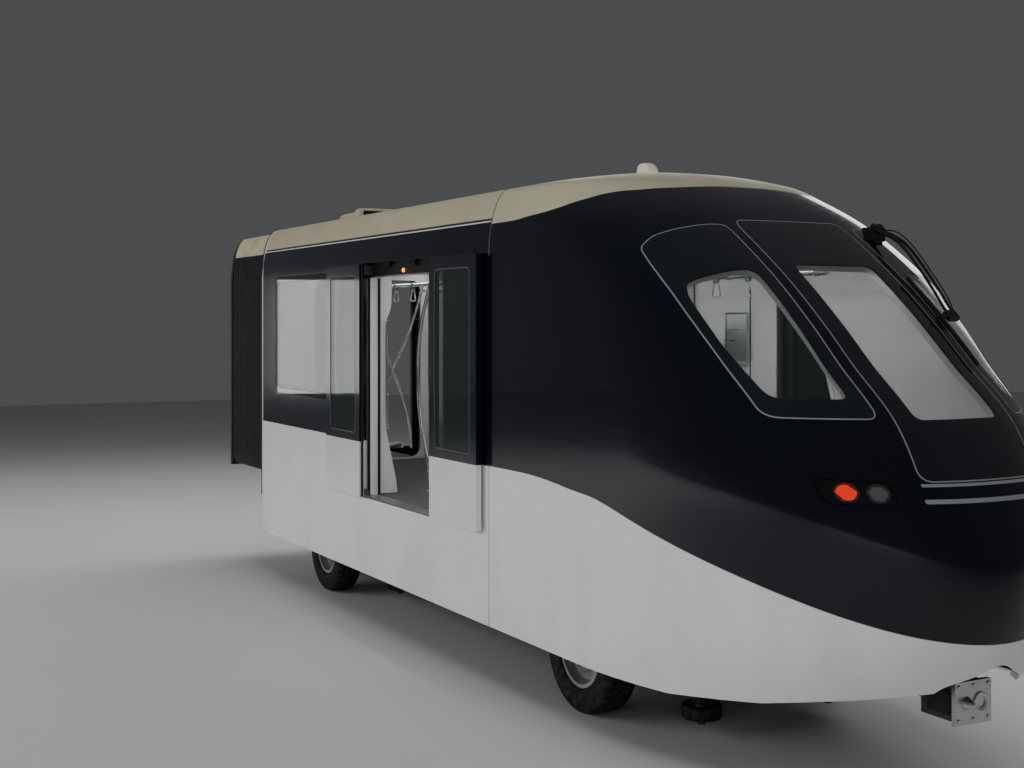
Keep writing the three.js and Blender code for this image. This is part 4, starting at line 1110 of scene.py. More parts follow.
for name, x0, x1, outer_y, depth, leading in LEAVES:
    sign = math.copysign(1, outer_y)
    seal_x = x1 if leading > 0 else x0
    body_x0 = x0 + (EDGE_SEAL if leading < 0 else 0)
    body_x1 = x1 - (EDGE_SEAL if leading > 0 else 0)
    rim = rectangle((body_x0, body_x1), LEAF_Z, 0.02)
    window = rectangle((x0 + LEAF_WINDOW_INSET, x1 - LEAF_WINDOW_INSET), LEAF_WINDOW_Z, 0.06)
    flat = grid_skin(
        np.linspace(x0 - 0.01, x1 + 0.01, 22), np.linspace(1.09, 3.13, 50),
        lambda x, z: (x, outer_y, z), (0, sign, 0))
    flat, _ = inside_outline(flat, 0, 2, rim, (0.02,))
    flat, opening = inside_outline(flat, 0, 2, window, (0.025, 0.012))
    edge = within(*flat.points[:, [0, 2]].T, rim)
    panel(f"door_skin_{name}", flat.where(edge - 0.0015, -opening - 0.0015), depth,
          [leaf_paint, lining], slot="body_paint", replaces=[f"door_leaf_{name}"])
    panel(f"door_pane_{name}", flat.where(opening - 0.012).lowered(0.003), 0.014, side_glass,
          slot="glazing", replaces=[f"door_glass_{name}"])
    panel(f"door_pane_frame_{name}", flat.where(opening - 0.001, 0.0095 - opening), 0.012,
          pane_frame, slot="glazing")
    middle_y = outer_y - sign * depth / 2
    middle_x = seal_x - leading * EDGE_SEAL / 2
    seal = bar(soft_box(EDGE_SEAL * 0.9, depth * 0.9, 0.005),
               (middle_x, middle_y, LEAF_Z[0] + 0.01), (middle_x, middle_y, LEAF_Z[1] - 0.01))
    piece(f"door_edge_seal_{name}", *seal, seal_rubber, slot="bellows")

# Door headers and posts: the black casing of the door drive over each opening with a bright
# strip along its lower edge, a guide strip and a seal on each post, and a grooved alloy sill.
DOOR_X = (-1.013, 0.587)
FRAME_Y = (1.062, 1.1395)
STRIP_Z = (3.010, 3.022)
POST_Z = (1.13, 3.005)
FINGER_Y, SILL_Y = 1.049, 1.196
RIDGE_WIDTH, RIDGE_PITCH = 0.009, 0.0145
SIGNAL_X, SIGNAL_Z = -0.26, 3.052
DRIVE_BOXES = [
    # middle x, width, bottom z, height
    (-0.62, 0.22, 3.090, 0.045), (-0.06, 0.16, 3.085, 0.050), (0.33, 0.14, 3.092, 0.040),
]
DRIVE_ROD_X, DRIVE_ROD_Z, DRIVE_ROD_RADIUS = (-0.98, 0.0, 0.56), 3.168, 0.011

door_casing = Finish("door_casing")
casing_tone = door_casing.noise(20, 4.0)
casing_depth = abs(door_casing.axis("Y"))
door_casing.set("Base Color", door_casing.mix(
    casing_depth > 1.131,
    door_casing.mix(casing_tone, (0.72, 0.72, 0.70), (0.80, 0.80, 0.78)),
    door_casing.mix(casing_tone, (0.010, 0.011, 0.013), (0.030, 0.031, 0.034))))
door_casing.set("Roughness", 0.35 + casing_tone * 0.2)

amber_lens = Finish("amber_lens", emission_strength=2.2, coat_weight=1.0)
amber_tone = amber_lens.noise(90, 1.0)
amber_lens.toned(amber_tone, (0.75, 0.22, 0.01), (0.85, 0.32, 0.03), (0.2, 0.1))
amber_lens.set("Emission Color", amber_lens.mix(amber_tone, (1.0, 0.30, 0.02), (1.0, 0.42, 0.05)))

door_fittings = Finish("door_drive_fittings")
door_fittings.toned(door_fittings.noise(30, 3.0), (0.022, 0.023, 0.025), (0.060, 0.061, 0.064),
                    (0.3, 0.2), (0.5, 0.3))


def finished(node, finish):
    """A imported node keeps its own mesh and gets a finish."""
    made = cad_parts[node]
    if not made.material_slots:
        made.data.materials.append(finish.material)
    for place in made.material_slots:
        place.material = finish.material


def outwards(points, faces):
    """The faces of a closed surface, turned over where the volume they enclose would come out
    negative."""
    a, b, c = (points[faces[:, k]] - points.mean(0) for k in range(3))
    return faces[:, ::-1] if (a * np.cross(b, c)).sum() < 0 else faces


def turned(profile, centre, axis, segments, closed=False):
    """A profile of (radius, height) rows turned about an axis through a centre: each point is
    centre + height * axis + radius * (cos a, sin a) in the plane across the axis."""
    axis = np.array(axis, float)
    guess = np.array([1.0, 0, 0]) if abs(axis[0]) < 0.9 else np.array([0, 1.0, 0])
    u = np.cross(axis, guess)
    u /= np.linalg.norm(u)
    v = np.cross(axis, u)
    profile = np.array(profile, float)
    a = np.linspace(0, 2 * np.pi, segments, endpoint=False)[None, :, None]
    radius, height = profile[:, 0][:, None, None], profile[:, 1][:, None, None]
    points = np.array(centre) + height * axis + radius * (np.cos(a) * u + np.sin(a) * v)
    faces = triangles(grid_faces(len(profile), segments, round_columns=True, round_rows=closed))
    points, faces = welded(points.reshape(-1, 3), faces)
    return points, outwards(points, faces)


def tube(path, radius, sides=10, across=(0, 1, 0)):
    """A round bar along a path of points: at each, a circle in the plane of `across` made
    square to the path and of the cross product of both, with a flat cap at each end."""
    path = np.array(path, float)
    tangent = np.gradient(path, axis=0)
    tangent /= np.linalg.norm(tangent, axis=1, keepdims=True)
    u = np.array(across, float) - (tangent @ np.array(across, float))[:, None] * tangent
    u /= np.linalg.norm(u, axis=1, keepdims=True)
    v = np.cross(tangent, u)
    a = np.linspace(0, 2 * np.pi, sides, endpoint=False)[None, :, None]
    radius = np.broadcast_to(radius, len(path))[:, None, None]
    ring = path[:, None] + radius * (np.cos(a) * u[:, None] + np.sin(a) * v[:, None])
    ends = [path[:1, None] + 0 * ring[:1], path[-1:, None] + 0 * ring[:1]]
    points = np.concatenate([ends[0], ring, ends[1]])
    faces = triangles(grid_faces(*points.shape[:2], round_columns=True))
    points, faces = welded(points.reshape(-1, 3), faces)
    return points, outwards(points, faces)


def curve(points, count):
    """A smooth path of so many points through a short list, by the Catmull-Rom spline."""
    return smooth_table(np.array(points, float), np.linspace(0, 1, count))


def block(x, y, z, radius=0.006):
    """A box with rounded long edges, between two values on each axis."""
    section = soft_box(y[1] - y[0], z[1] - z[0], radius)
    middle_y, middle_z = (y[0] + y[1]) / 2, (z[0] + z[1]) / 2
    return bar(section, (x[0], middle_y, middle_z), (x[1], middle_y, middle_z))


def out_to(sign, near, far):
    """The range of y between two distances out from the centreline on one side."""
    return sorted((sign * near, sign * far))


for side, sign in SIDES:
    finished(f"door_frame_{side}", door_casing)
    face_y = sign * (FRAME_Y[1] + 0.002)
    strip_y = out_to(sign, FRAME_Y[1], FRAME_Y[1] + 0.004)
    strip = block((DOOR_X[0] - 0.01, DOOR_X[1] + 0.01), strip_y, STRIP_Z, 0.002)
    posts = [bar(soft_box(0.024, 0.004, 0.0015), (x, face_y, POST_Z[0]), (x, face_y, POST_Z[1]))
             for x in (DOOR_X[0] - 0.028, DOOR_X[1] + 0.028)]
    piece(f"door_guide_strips_{side}", *joined(strip, *posts), satin_alloy, slot="bright_metal")
    fingers = [bar(soft_box(0.018, 0.022, 0.004), (x, sign * FINGER_Y, 1.108),
                   (x, sign * FINGER_Y, POST_Z[1])) for x in (DOOR_X[0] + 0.004, DOOR_X[1] - 0.004)]
    piece(f"door_inner_seal_{side}", *joined(*fingers), seal_rubber, slot="bellows")
    sill_x, sill_y = (DOOR_X[0] - 0.02, DOOR_X[1] + 0.02), out_to(sign, FRAME_Y[0], SILL_Y)
    ridges = [block(sill_x, (y, y + RIDGE_WIDTH), (1.1005, 1.1075), 0.002)
              for y in np.arange(sill_y[0] + 0.004, sill_y[1] - 0.008, RIDGE_PITCH)]
    plate = block(sill_x, sill_y, (1.1003, 1.1035), 0.001)
    piece(f"door_sill_{side}", *joined(plate, *ridges), satin_alloy, slot="bright_metal")
    amber = turned([(0, 0.016), (0.010, 0.0145), (0.017, 0.009), (0.019, 0.0), (0, 0)],
                   (SIGNAL_X, face_y, SIGNAL_Z), (0, sign, 0), 20)
    piece(f"door_signal_lamp_{side}", *amber, amber_lens, slot="lamp_lens")
    boxes = [block((x - w / 2, x + w / 2), sorted((face_y, face_y + sign * 0.022)), (z, z + h))
             for x, w, z, h in DRIVE_BOXES]
    rod = tube([(x, face_y + sign * 0.012, DRIVE_ROD_Z) for x in DRIVE_ROD_X], DRIVE_ROD_RADIUS)
    piece(f"door_drive_fittings_{side}", *joined(*boxes, rod), door_fittings, slot="dark_steel")

# Carriers and foot arms: short arms of forged steel with a turned roller on each, that hold each
# open leaf to its drive above and to its post below.
CARRIERS = [
    # x, z, of the arms at the heads of the front and rear leaves, then at their feet
    ((0.505, 0.580), (3.030, 3.110)),
    ((-1.006, -0.931), (3.030, 3.110)),
    ((0.590, 0.612), (1.112, 1.150)),
    ((-1.038, -1.016), (1.112, 1.150)),
]
CARRIER_Y = (-1.222, -1.1405)
ROLLER = [
    # radius, height
    (0, -0.006), (0.014, -0.006), (0.016, -0.003), (0.016, 0.003), (0.014, 0.006), (0, 0.006),
]
arm_steel = Finish("arm_steel")
arm_steel.toned(arm_steel.noise(35, 4.0), (0.22, 0.225, 0.23), (0.34, 0.345, 0.35), (0.35, 0.2),
                (0.7, 0.2))
arms = [block(x, CARRIER_Y, z, 0.008) for x, z in CARRIERS]
rollers = [turned(ROLLER, (sum(x) / 2, -1.180, z[1] + 0.006), (0, 0, 1), 20) for x, z in CARRIERS]
piece("door_leaf_arms", *joined(*arms, *rollers), arm_steel, slot="dark_steel")

# Saloon ceiling and floor: white panels with two long diffusers, clipped to the roof's ribs, and
# a speckled vinyl covering glued to the floor.
CEILING_Z = 3.196
CEILING_HALF = np.array([
    # x, half width, narrowing inside the nose
    [-3.8, 1.05], [2.3, 1.05], [2.8, 1.00], [3.0, 0.90], [3.2, 0.68], [3.28, 0.50],
])
CEILING_PANELS = [
    # x from, x to, rows of points
    (-3.79, -1.30, 12), (-1.296, 1.24, 12), (1.244, 3.28, 40),
]
CEILING_DROP = 0.012
DIFFUSERS_Y = (-0.62, -0.50), (0.50, 0.62)
DIFFUSERS_X = (-3.70, -1.34), (-1.26, 1.20), (1.28, 2.56), (2.60, 2.96)
FLOOR_TOP_Z = 1.1035
ceiling_light = Finish("ceiling_diffuser", emission_strength=6.0, roughness=0.5)
glow = ceiling_light.noise(3, 1.0)
ceiling_light.toned(glow, (0.85, 0.86, 0.86), (0.92, 0.93, 0.93))
ceiling_light.set("Emission Color", ceiling_light.mix(glow, (0.95, 0.98, 1.0), (1.0, 1.0, 0.98)))
vinyl = Finish("floor_vinyl")
flecks = vinyl.ramp(vinyl.noise(260, 1.0), 0.56, 0.62)
worn = vinyl.noise(2.5, 4.0)
vinyl.set("Base Color", vinyl.mix(flecks, (0.115, 0.105, 0.105), (0.27, 0.26, 0.26)))
vinyl.set("Roughness", 0.40 + worn * 0.25)
vinyl.bump(vinyl.noise(500, 1.0), 0.0002)


def ceiling_shape(u, x):
    """Flat in the middle, falling by a cosine towards both sides, and u times as wide as the
    table's half width."""
    edge = np.clip((np.abs(u) - 0.86) / 0.14, 0, 1)
    y = u * np.interp(x, *CEILING_HALF.T)
    return x, y, CEILING_Z - CEILING_DROP * (1 - np.cos(np.pi * edge))


for number, (x0, x1, rows) in enumerate(CEILING_PANELS, 1):
    sheet = grid_skin(np.linspace(-1, 1, 43), np.linspace(x0, x1, rows), ceiling_shape, (0, 0, -1))
    panel(f"ceiling_panel_{number}", sheet, 0.003, lining, slot="lining")
strips = [block(x, y, (CEILING_Z - 0.010, CEILING_Z - 0.0005), 0.004)
          for y in DIFFUSERS_Y for x in DIFFUSERS_X]
piece("ceiling_lights", *joined(*strips), ceiling_light, slot="lamp_lens")
floor_sheet = grid_skin(np.linspace(-1.055, 1.055, 12), np.linspace(-3.795, 3.90, 30),
                        lambda y, x: (x, y, FLOOR_TOP_Z), (0, 0, 1))
panel("floor_covering", floor_sheet, 0.003, vinyl, slot="deck")

# Benches: five moulded seat shells on each side, each a dished sheet that turns down in front
# and up into its back, on one cantilevered white box along the wall.
BENCH_X = (-3.680, -1.240)
SEATS = 5
SEAT_BACK_Y = 1.1397
SEAT_PROFILE = [
    # distance from the wall, z, from the front lip to the head of the back
    (0.425, 1.480), (0.428, 1.520), (0.395, 1.538), (0.240, 1.508), (0.130, 1.540),
    (0.075, 1.680), (0.052, 1.860), (0.048, 1.985),
]
SEAT_GAP, SEAT_DIP = 0.022, 0.020
seat_plastic = Finish("seat_plastic")
seat_plastic.toned(seat_plastic.noise(8, 4.0), (0.50, 0.515, 0.53), (0.60, 0.615, 0.63),
                   (0.28, 0.15))
seat_plastic.bump(seat_plastic.noise(350, 2.0), 0.0002)
pitch = (BENCH_X[1] - BENCH_X[0]) / SEATS


def seat_shape(u, v, start, sign):
    """The profile at v from front to top. Across it at u the sheet dips by a cosine towards the
    middle, and the back narrows a little as it rises."""
    rows = smooth_table(np.array(SEAT_PROFILE), v.ravel()).reshape(*v.shape, 2)
    dip = SEAT_DIP * (np.cos(np.pi * (2 * u - 1)) + 1) / 2
    half = (pitch - SEAT_GAP) / 2 * (1 - 0.05 * v**4)
    x = start + pitch / 2 + half * (2 * u - 1)
    upright = np.clip((v - 0.45) / 0.2, 0, 1)
    y = sign * (SEAT_BACK_Y - rows[..., 0] + dip * upright)
    return x, y, rows[..., 1] - dip * (1 - upright)


for side, sign in SIDES:
    shells = [
        grid_skin(np.linspace(0, 1, 15), np.linspace(0, 1, 30),
                  lambda u, v, s=BENCH_X[0] + pitch * i: seat_shape(u, v, s, sign), (0, -sign, 0.5))
        for i in range(SEATS)]
    panel(f"bench_shells_{side}", shells, 0.014, seat_plastic, slot="seat_shell",
          replaces=[f"bench_{side}"])
    base = block(BENCH_X, out_to(sign, 0.93, 1.139), (1.104, 1.395), 0.02)
    backs = [block((BENCH_X[0] + pitch * i + 0.03, BENCH_X[0] + pitch * (i + 1) - 0.03),
                   out_to(sign, 1.085, 1.139), (1.40, 1.95), 0.012) for i in range(SEATS)]
    brackets = [block((x - 0.02, x + 0.02), out_to(sign, 0.78, 1.12), (1.395, 1.485), 0.008)
                for x in BENCH_X[0] + pitch * (np.arange(SEATS) + 0.5)]
    piece(f"bench_base_{side}", *joined(base, *backs, *brackets), lining, slot="seat_shell",
          replaces=[f"bench_{side}"])

# Wall fitting of the nose: on the left wall, a bare satin sheet in a pressed frame of the same
# alloy, screwed to the lining.
CARD_X, CARD_Z, CARD_RIM = (1.10, 1.39), (2.275, 2.705), 0.018
card = block((1.115, 1.375), (1.128, 1.139), (2.29, 2.69), 0.004)
rims = [block(x, (1.120, 1.130), z, 0.003) for x, z in (
    (CARD_X, (CARD_Z[0], CARD_Z[0] + CARD_RIM)), (CARD_X, (CARD_Z[1] - CARD_RIM, CARD_Z[1])),
    ((CARD_X[0], CARD_X[0] + CARD_RIM), (CARD_Z[0] + CARD_RIM, CARD_Z[1] - CARD_RIM)),
    ((CARD_X[1] - CARD_RIM, CARD_X[1]), (CARD_Z[0] + CARD_RIM, CARD_Z[1] - CARD_RIM)))]
piece("nose_card_holder", *joined(card, *rims), satin_alloy, slot="bright_metal")

# Grab rails: polished steel tubes, one along the ceiling each side on hangers, posts at the
# doorway and two bowed rails from each post, in clamped joints; straps with moulded handles.
RAIL_Y, RAIL_Z, RAIL_RADIUS = 0.560, 2.960, 0.017
RAIL_X = (-3.600, 3.000)
HANGERS_X = [-3.400, -2.300, -1.000, 0.600, 1.900, 2.900]
POSTS = [(-1.010, -0.260), (0.590, 0.260)]
SWEEP = [(0.0, 0.190), (0.75, 0.620), (1.0, 1.100), (0.7, 1.500), (0.0, 1.840)]
END_RAILS = [
    # x, and points (|y|, z) of the two bowed rails that cross behind the draught screen
    (-1.100, [(0.955, 2.385), (0.900, 2.230), (0.800, 1.990), (0.725, 1.740), (0.700, 1.490)]),
    (-1.135, [(0.575, 2.955), (0.620, 2.780), (0.720, 2.500), (0.850, 2.230), (0.930, 2.010),
              (0.955, 1.780)]),
]
STRAP_X = np.arange(-3.325, 2.9, 0.39)
STRAP_DROP, STRAP_HALF, STRAP_THICKNESS = 0.026, 0.016, 0.003
HANDLE_RADIUS = 0.0075
polished = Finish("polished_tube")
brushed = polished.noise(120, 2.0, (1, 1, 0.05))
polished.toned(brushed, (0.66, 0.67, 0.68), (0.78, 0.79, 0.80), (0.10, 0.12), (0.95, 0.05))
strap_band = Finish("strap_webbing")
ribs = strap_band.noise(500, 1.0, (1, 1, 0.2))
strap_band.toned(ribs, (0.20, 0.42, 0.24), (0.30, 0.55, 0.34), (0.6, 0.2))
strap_band.bump(ribs, 0.0003)
handle_plastic = Finish("handle_plastic")
handle_plastic.toned(handle_plastic.noise(40, 2.0), (0.78, 0.79, 0.78), (0.88, 0.89, 0.88),
                     (0.25, 0.1))


def handle(x, y, top):
    """A strap's handle: a triangle of round bar with round corners, closed on itself."""
    outline = rounded([(-0.020, 0.0), (0.020, 0.0), (0.058, -0.105), (-0.058, -0.105)],
                      [0.012, 0.012, 0.030, 0.030])[::2]
    path = np.stack([x + outline[:, 0], y + 0 * outline[:, 0], top + outline[:, 1]], 1)
    step = np.roll(path, -1, axis=0) - np.roll(path, 1, axis=0)
    step /= np.linalg.norm(step, axis=1, keepdims=True)
    u = np.array([0, 1.0, 0])
    v = np.cross(step, u)
    a = np.linspace(0, 2 * np.pi, 8, endpoint=False)[None, :, None]
    ring = path[:, None] + HANDLE_RADIUS * (np.cos(a) * u + np.sin(a) * v[:, None])
    faces = grid_faces(*ring.shape[:2], round_columns=True, round_rows=True)
    return ring.reshape(-1, 3), outwards(ring.reshape(-1, 3), faces)


def clamp(centre, axis):
    """A turned collar with a rounded edge, round a tube."""
    r = RAIL_RADIUS
    return turned([(r * 1.02, -0.026), (r + 0.006, -0.024), (r + 0.008, -0.018), (r + 0.008, 0.018),
                   (r + 0.006, 0.024), (r * 1.02, 0.026)], centre, axis, 20, True)


def strap_loop(x, y):
    """A band round the rail: the corners of its thin section, each carried round a circle that
    is drawn down by the cosine of the angle over its lower half."""
    a = np.linspace(0, 2 * np.pi, 16, endpoint=False)
    inner = RAIL_RADIUS + 0.002
    outer = inner + STRAP_THICKNESS
    drop = np.clip(-np.cos(a), 0, 1) * STRAP_DROP
    corners = (inner, -STRAP_HALF), (inner, STRAP_HALF), (outer, STRAP_HALF), (outer, -STRAP_HALF)
    points = np.concatenate([
        np.stack([x + shift + 0 * a, y + r * np.sin(a), RAIL_Z + r * np.cos(a) - drop], 1)
        for r, shift in corners])
    return points, outwards(points, grid_faces(4, len(a), round_columns=True, round_rows=True))


HANGER_FOOT = [(0.0, 0.012), (0.030, 0.012), (0.036, 0.006), (0.036, 0.0), (0, 0)]
POST_FOOT = [(0, 0.016), (0.026, 0.016), (0.040, 0.006), (0.042, 0.0), (0, 0)]
for side, sign in SIDES:
    y = sign * RAIL_Y
    tubes = [tube([(x, y, RAIL_Z) for x in (RAIL_X[0], 0, RAIL_X[1])], RAIL_RADIUS, 14)]
    tubes += [tube([(x, y, RAIL_Z), (x, y, 3.08), (x, y, 3.185)], RAIL_RADIUS * 0.8, 12)
              for x in HANGERS_X]
    collars = [clamp((x, y, RAIL_Z), (1, 0, 0)) for x in HANGERS_X]
    collars += [turned(HANGER_FOOT, (x, y, 3.184), (0, 0, -1), 20) for x in HANGERS_X]
    for x, lean in POSTS:
        tubes.append(tube([(x, y, 1.104), (x, y, 2.0), (x, y, RAIL_Z)], RAIL_RADIUS, 14))
        bow = curve([(x + lean * share, y, 1.10 + height) for share, height in SWEEP], 40)
        tubes.append(tube(bow, RAIL_RADIUS, 14))
        collars += [clamp((x, y, z), (0, 0, 1)) for z in (1.29, 2.90)]
        collars.append(turned(POST_FOOT, (x, y, 1.104), (0, 0, 1), 24))
    tubes += [tube(curve([(x, sign * breadth, z) for breadth, z in route], 36), 0.013, 12)
              for x, route in END_RAILS]
    piece(f"rail_tubes_{side}", *joined(*tubes), polished, slot="bright_metal",
          replaces=[f"grab_rail_{side}"])
    piece(f"rail_collars_{side}", *joined(*collars), satin_alloy, slot="bright_metal",
          replaces=[f"grab_rail_{side}"])
    loops = [strap_loop(x, y) for x in STRAP_X]
    handles = [handle(x, y, RAIL_Z - RAIL_RADIUS - STRAP_DROP + 0.002) for x in STRAP_X]
    piece(f"strap_bands_{side}", *joined(*loops), strap_band, slot="seat_shell")
    piece(f"strap_handles_{side}", *joined(*handles), handle_plastic, slot="seat_shell")

# Draught screen: a white moulding screwed to the inside of the rear door post, wide at the head
# and foot, with a polished steel tube along its narrow middle.
SCREEN_X = (-1.082, -1.058)
SCREEN_WALL_Y = 1.061
SCREEN_EDGE = [
    # distance in from the wall, z, from the floor up
    (0.210, 1.106), (0.200, 1.20), (0.172, 1.34), (0.136, 1.50), (0.106, 1.64), (0.096, 1.78),
    (0.094, 2.10), (0.094, 2.50), (0.104, 2.64), (0.132, 2.705), (0.150, 2.78), (0.153, 2.92),
    (0.153, 3.18),
]
edge_line = smooth_table(np.array(SCREEN_EDGE), np.linspace(0, 1, 40))
screen_outline = np.concatenate([edge_line, [(0.0, 3.18), (0.0, 1.106)]])
for side, sign in SIDES:
    outline = np.stack([sign * (SCREEN_WALL_Y - screen_outline[:, 0]), screen_outline[:, 1]], 1)
    sheet = grid_skin(np.linspace(0.75, 1.08, 14) * sign, np.linspace(1.09, 3.20, 70),
                      lambda y, z: (SCREEN_X[1], y, z), (1, 0, 0))
    sheet, field = inside_outline(sheet, 1, 2, outline, (0.03, 0.015))
    panel(f"draught_screen_{side}", sheet.where(field - 0.002), SCREEN_X[1] - SCREEN_X[0], lining,
          slot="lining")
    path = [(SCREEN_X[1] + 0.014, sign * (SCREEN_WALL_Y - d - 0.004), z)
            for d, z in edge_line[14:27:2]]
    piece(f"screen_tube_{side}", *tube(curve(path, 30), 0.013), polished, slot="bright_metal")

# Console: a padded moulding of textured plastic, screwed down below the windscreen. It is the
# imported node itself, with its finish.
console_plastic = Finish("console_plastic")
console_plastic.toned(console_plastic.noise(30, 3.0), (0.20, 0.205, 0.21), (0.27, 0.275, 0.28),
                      (0.5, 0.15))
console_plastic.bump(console_plastic.noise(600, 2.0), 0.0003)
finished("console", console_plastic)

# End wall and gangway end: a wall painted dark outside and lined inside, a painted steel frame
# at the end of the bellows with a row of bolts up each side, and a studded alloy tread plate.
LINED_AHEAD_X = -3.835
FRAME_BOLTS_X, FRAME_BOLTS_Y = -5.078, (-1.112, 1.112)
FRAME_BOLT = [(0, 0.007), (0.008, 0.007), (0.010, 0.005), (0.010, 0.0), (0, 0)]
end_paint = Finish("end_wall_paint", coat_weight=0.5)
end_tone = end_paint.noise(8, 4.0)
end_paint.set("Base Color", end_paint.mix(
    end_paint.axis("X") > LINED_AHEAD_X,
    end_paint.mix(end_tone, (0.010, 0.012, 0.018), (0.022, 0.024, 0.030)),
    end_paint.mix(end_tone, (0.74, 0.74, 0.72), (0.82, 0.82, 0.80))))
end_paint.set("Roughness", 0.28 + end_tone * 0.15)
finished("rear_end_wall", end_paint)
frame_paint = Finish("frame_paint")
frame_tone = frame_paint.noise(25, 5.0)
rubbed = frame_paint.ramp(frame_paint.noise(55, 4.0), 0.60, 0.72)
frame_paint.set("Base Color", frame_paint.mix(
    rubbed * 0.5, frame_paint.mix(frame_tone, (0.030, 0.031, 0.034), (0.055, 0.056, 0.060)),
    (0.20, 0.20, 0.20)))
frame_paint.set("Roughness", 0.42 + frame_tone * 0.2)
frame_paint.bump(frame_tone, 0.0006)
finished("gangway_end_frame", frame_paint)
tread_plate = Finish("gangway_tread_plate")
studs = tread_plate.node("TexVoronoi", {}, {"Vector": tread_plate.place(), "Scale": 38})
scuffed = tread_plate.noise(12, 5.0)
tread_plate.toned(scuffed, (0.38, 0.39, 0.40), (0.55, 0.56, 0.57), (0.3, 0.25), (0.8, 0.1))
tread_plate.bump(tread_plate.ramp(studs, 0.05, 0.35), 0.002)
finished("gangway_floor", tread_plate)
bolts = [turned(FRAME_BOLT, (FRAME_BOLTS_X, y, z), (-1, 0, 0), 12)
         for y in FRAME_BOLTS_Y for z in np.arange(1.25, 3.2, 0.24)]
piece("gangway_frame_bolts", *joined(*bolts), satin_alloy, slot="bright_metal")

# Roof cooler: a cream moulded cover screwed down on the roof, with painted slats in front and
# behind and two round guards of bent wire over the fans on top. The black strips behind the slats
# and the black discs under the guards are painted shade, for the dark openings there.
COOLER_X = (-3.450, -2.880)
COOLER_HALF = 0.500
COOLER_PROFILE = [
    # inset, z, from the foot up over the edge
    (0.0, 3.640), (0.0, 3.744), (0.004, 3.758), (0.016, 3.772), (0.036, 3.781), (0.060, 3.785),
    (0.120, 3.786),
]
HOOP_X, HOOP_RISE = (-3.02, -2.96), 0.034
COVER_POWER = 12
FANS_X, FANS_Y = sum(COOLER_X) / 2 - 0.06, (-0.235, 0.235)
FAN_RADIUS = 0.165
GUARD_RADII, GUARD_WIRE = (0.045, 0.085, 0.125, FAN_RADIUS), 0.003


def cover_shape(t, a):
    """Rings of a superellipse of power 12 in plan, set in and raised along the profile, closed
    by a point at the middle of the top and of the foot. Behind its front hoop the top is lower,
    by a cosine of x."""
    middle = sum(COOLER_X) / 2
    half_x = (COOLER_X[1] - COOLER_X[0]) / 2
    rows = np.array([(half_x, COOLER_PROFILE[0][1]), *COOLER_PROFILE,
                     (half_x, COOLER_PROFILE[-1][1])])
    place = t * (len(rows) - 1)
    inset = np.interp(place, np.arange(len(rows)), rows[:, 0])
    z = np.interp(place, np.arange(len(rows)), rows[:, 1])
    plan = np.abs(np.cos(a)) ** COVER_POWER + np.abs(np.sin(a)) ** COVER_POWER
    reach = plan ** (-1 / COVER_POWER)
    closed = inset >= half_x
    x = middle + np.where(closed, 0, half_x - inset) * np.cos(a) * reach
    behind_hoop = np.clip((HOOP_X[1] - x) / (HOOP_X[1] - HOOP_X[0]), 0, 1)
    z = z - np.where(z > 3.70, HOOP_RISE * (1 - np.cos(np.pi * behind_hoop)) / 2, 0)
    return x, np.where(closed, 0, COOLER_HALF - inset) * np.sin(a) * reach, z


turns = np.sort(np.concatenate([
    np.linspace(0, 2 * np.pi, 97), np.pi / 2 + np.linspace(-0.4, 0.1, 16),
    3 * np.pi / 2 + np.linspace(-0.1, 0.4, 16)]))
cover = grid_skin(np.linspace(0, 1, 9), turns, cover_shape, (0, 0, 1))
piece("roof_cooler_cover", cover.points, outwards(cover.points, cover.faces), cream_paint,
      slot="white_paint", replaces=["air_conditioner"], sharp=50)
slats = [bar(soft_box(0.010, 0.004, 0.0015), (x, -0.43, z), (x, 0.43, z))
         for x in (COOLER_X[0] - 0.002, COOLER_X[1] + 0.002)
         for z in np.arange(3.700, 3.752, 0.0105)]
backs = [block((x - 0.002, x + 0.002), (-0.44, 0.44), (3.692, 3.755), 0.003)
         for x in (COOLER_X[0] - 0.0005, COOLER_X[1] + 0.0005)]
piece("roof_cooler_slats", *joined(*slats), frame_paint, slot="dark_steel")
# Black strips laid over the cover behind the slats: painted shade for the dark gaps between slats.
piece("roof_cooler_slat_shade_strips", *joined(*backs), seal_rubber, slot="dark_steel")
guards = []
for y in FANS_Y:
    centre = (FANS_X, y, 3.788 - HOOP_RISE)
    for r in GUARD_RADII:
        turn = np.linspace(0, 2 * np.pi, 8, endpoint=False)
        wire = np.stack([r + GUARD_WIRE * np.cos(turn), GUARD_WIRE * np.sin(turn)], 1)
        guards.append(turned(wire, centre, (0, 0, 1), 40, closed=True))
    for angle in np.arange(4) * np.pi / 4:
        reach = np.array([math.cos(angle), math.sin(angle), 0]) * FAN_RADIUS
        spoke = [centre - reach, np.array(centre), centre + reach]
        guards.append(tube(spoke, 0.0025, 8, (0, 0, 1)))
piece("roof_cooler_fan_guards", *joined(*guards), frame_paint, slot="dark_steel")
# Thin black discs under the guards: painted shade for the dark hollows of the fans.
fan_shade_discs = [turned([(0, 0.0), (FAN_RADIUS, 0.0), (FAN_RADIUS, 0.0012), (0, 0.0012)],
                    (FANS_X, y, 3.7862 - HOOP_RISE), (0, 0, 1), 40) for y in FANS_Y]
piece("roof_cooler_fan_wells", *joined(*fan_shade_discs), seal_rubber, slot="dark_steel")

# Roof antenna: a cream moulded dome, steeper behind than in front, screwed down with its flat
# foot plate to the crown of the roof.
ANTENNA_X = 1.655
ANTENNA_FOOT_Z, ANTENNA_TOP_Z = 3.680, 3.807
DOME_HALF_X, DOME_HALF_Y = 0.088, 0.063
DOME_PLAN_POWER, DOME_RISE_POWER = 3.5, 3.6
DOME_LEAN = 0.024
FOOT_HALF_Y, FOOT_Z = 0.073, (3.684, 3.7085)


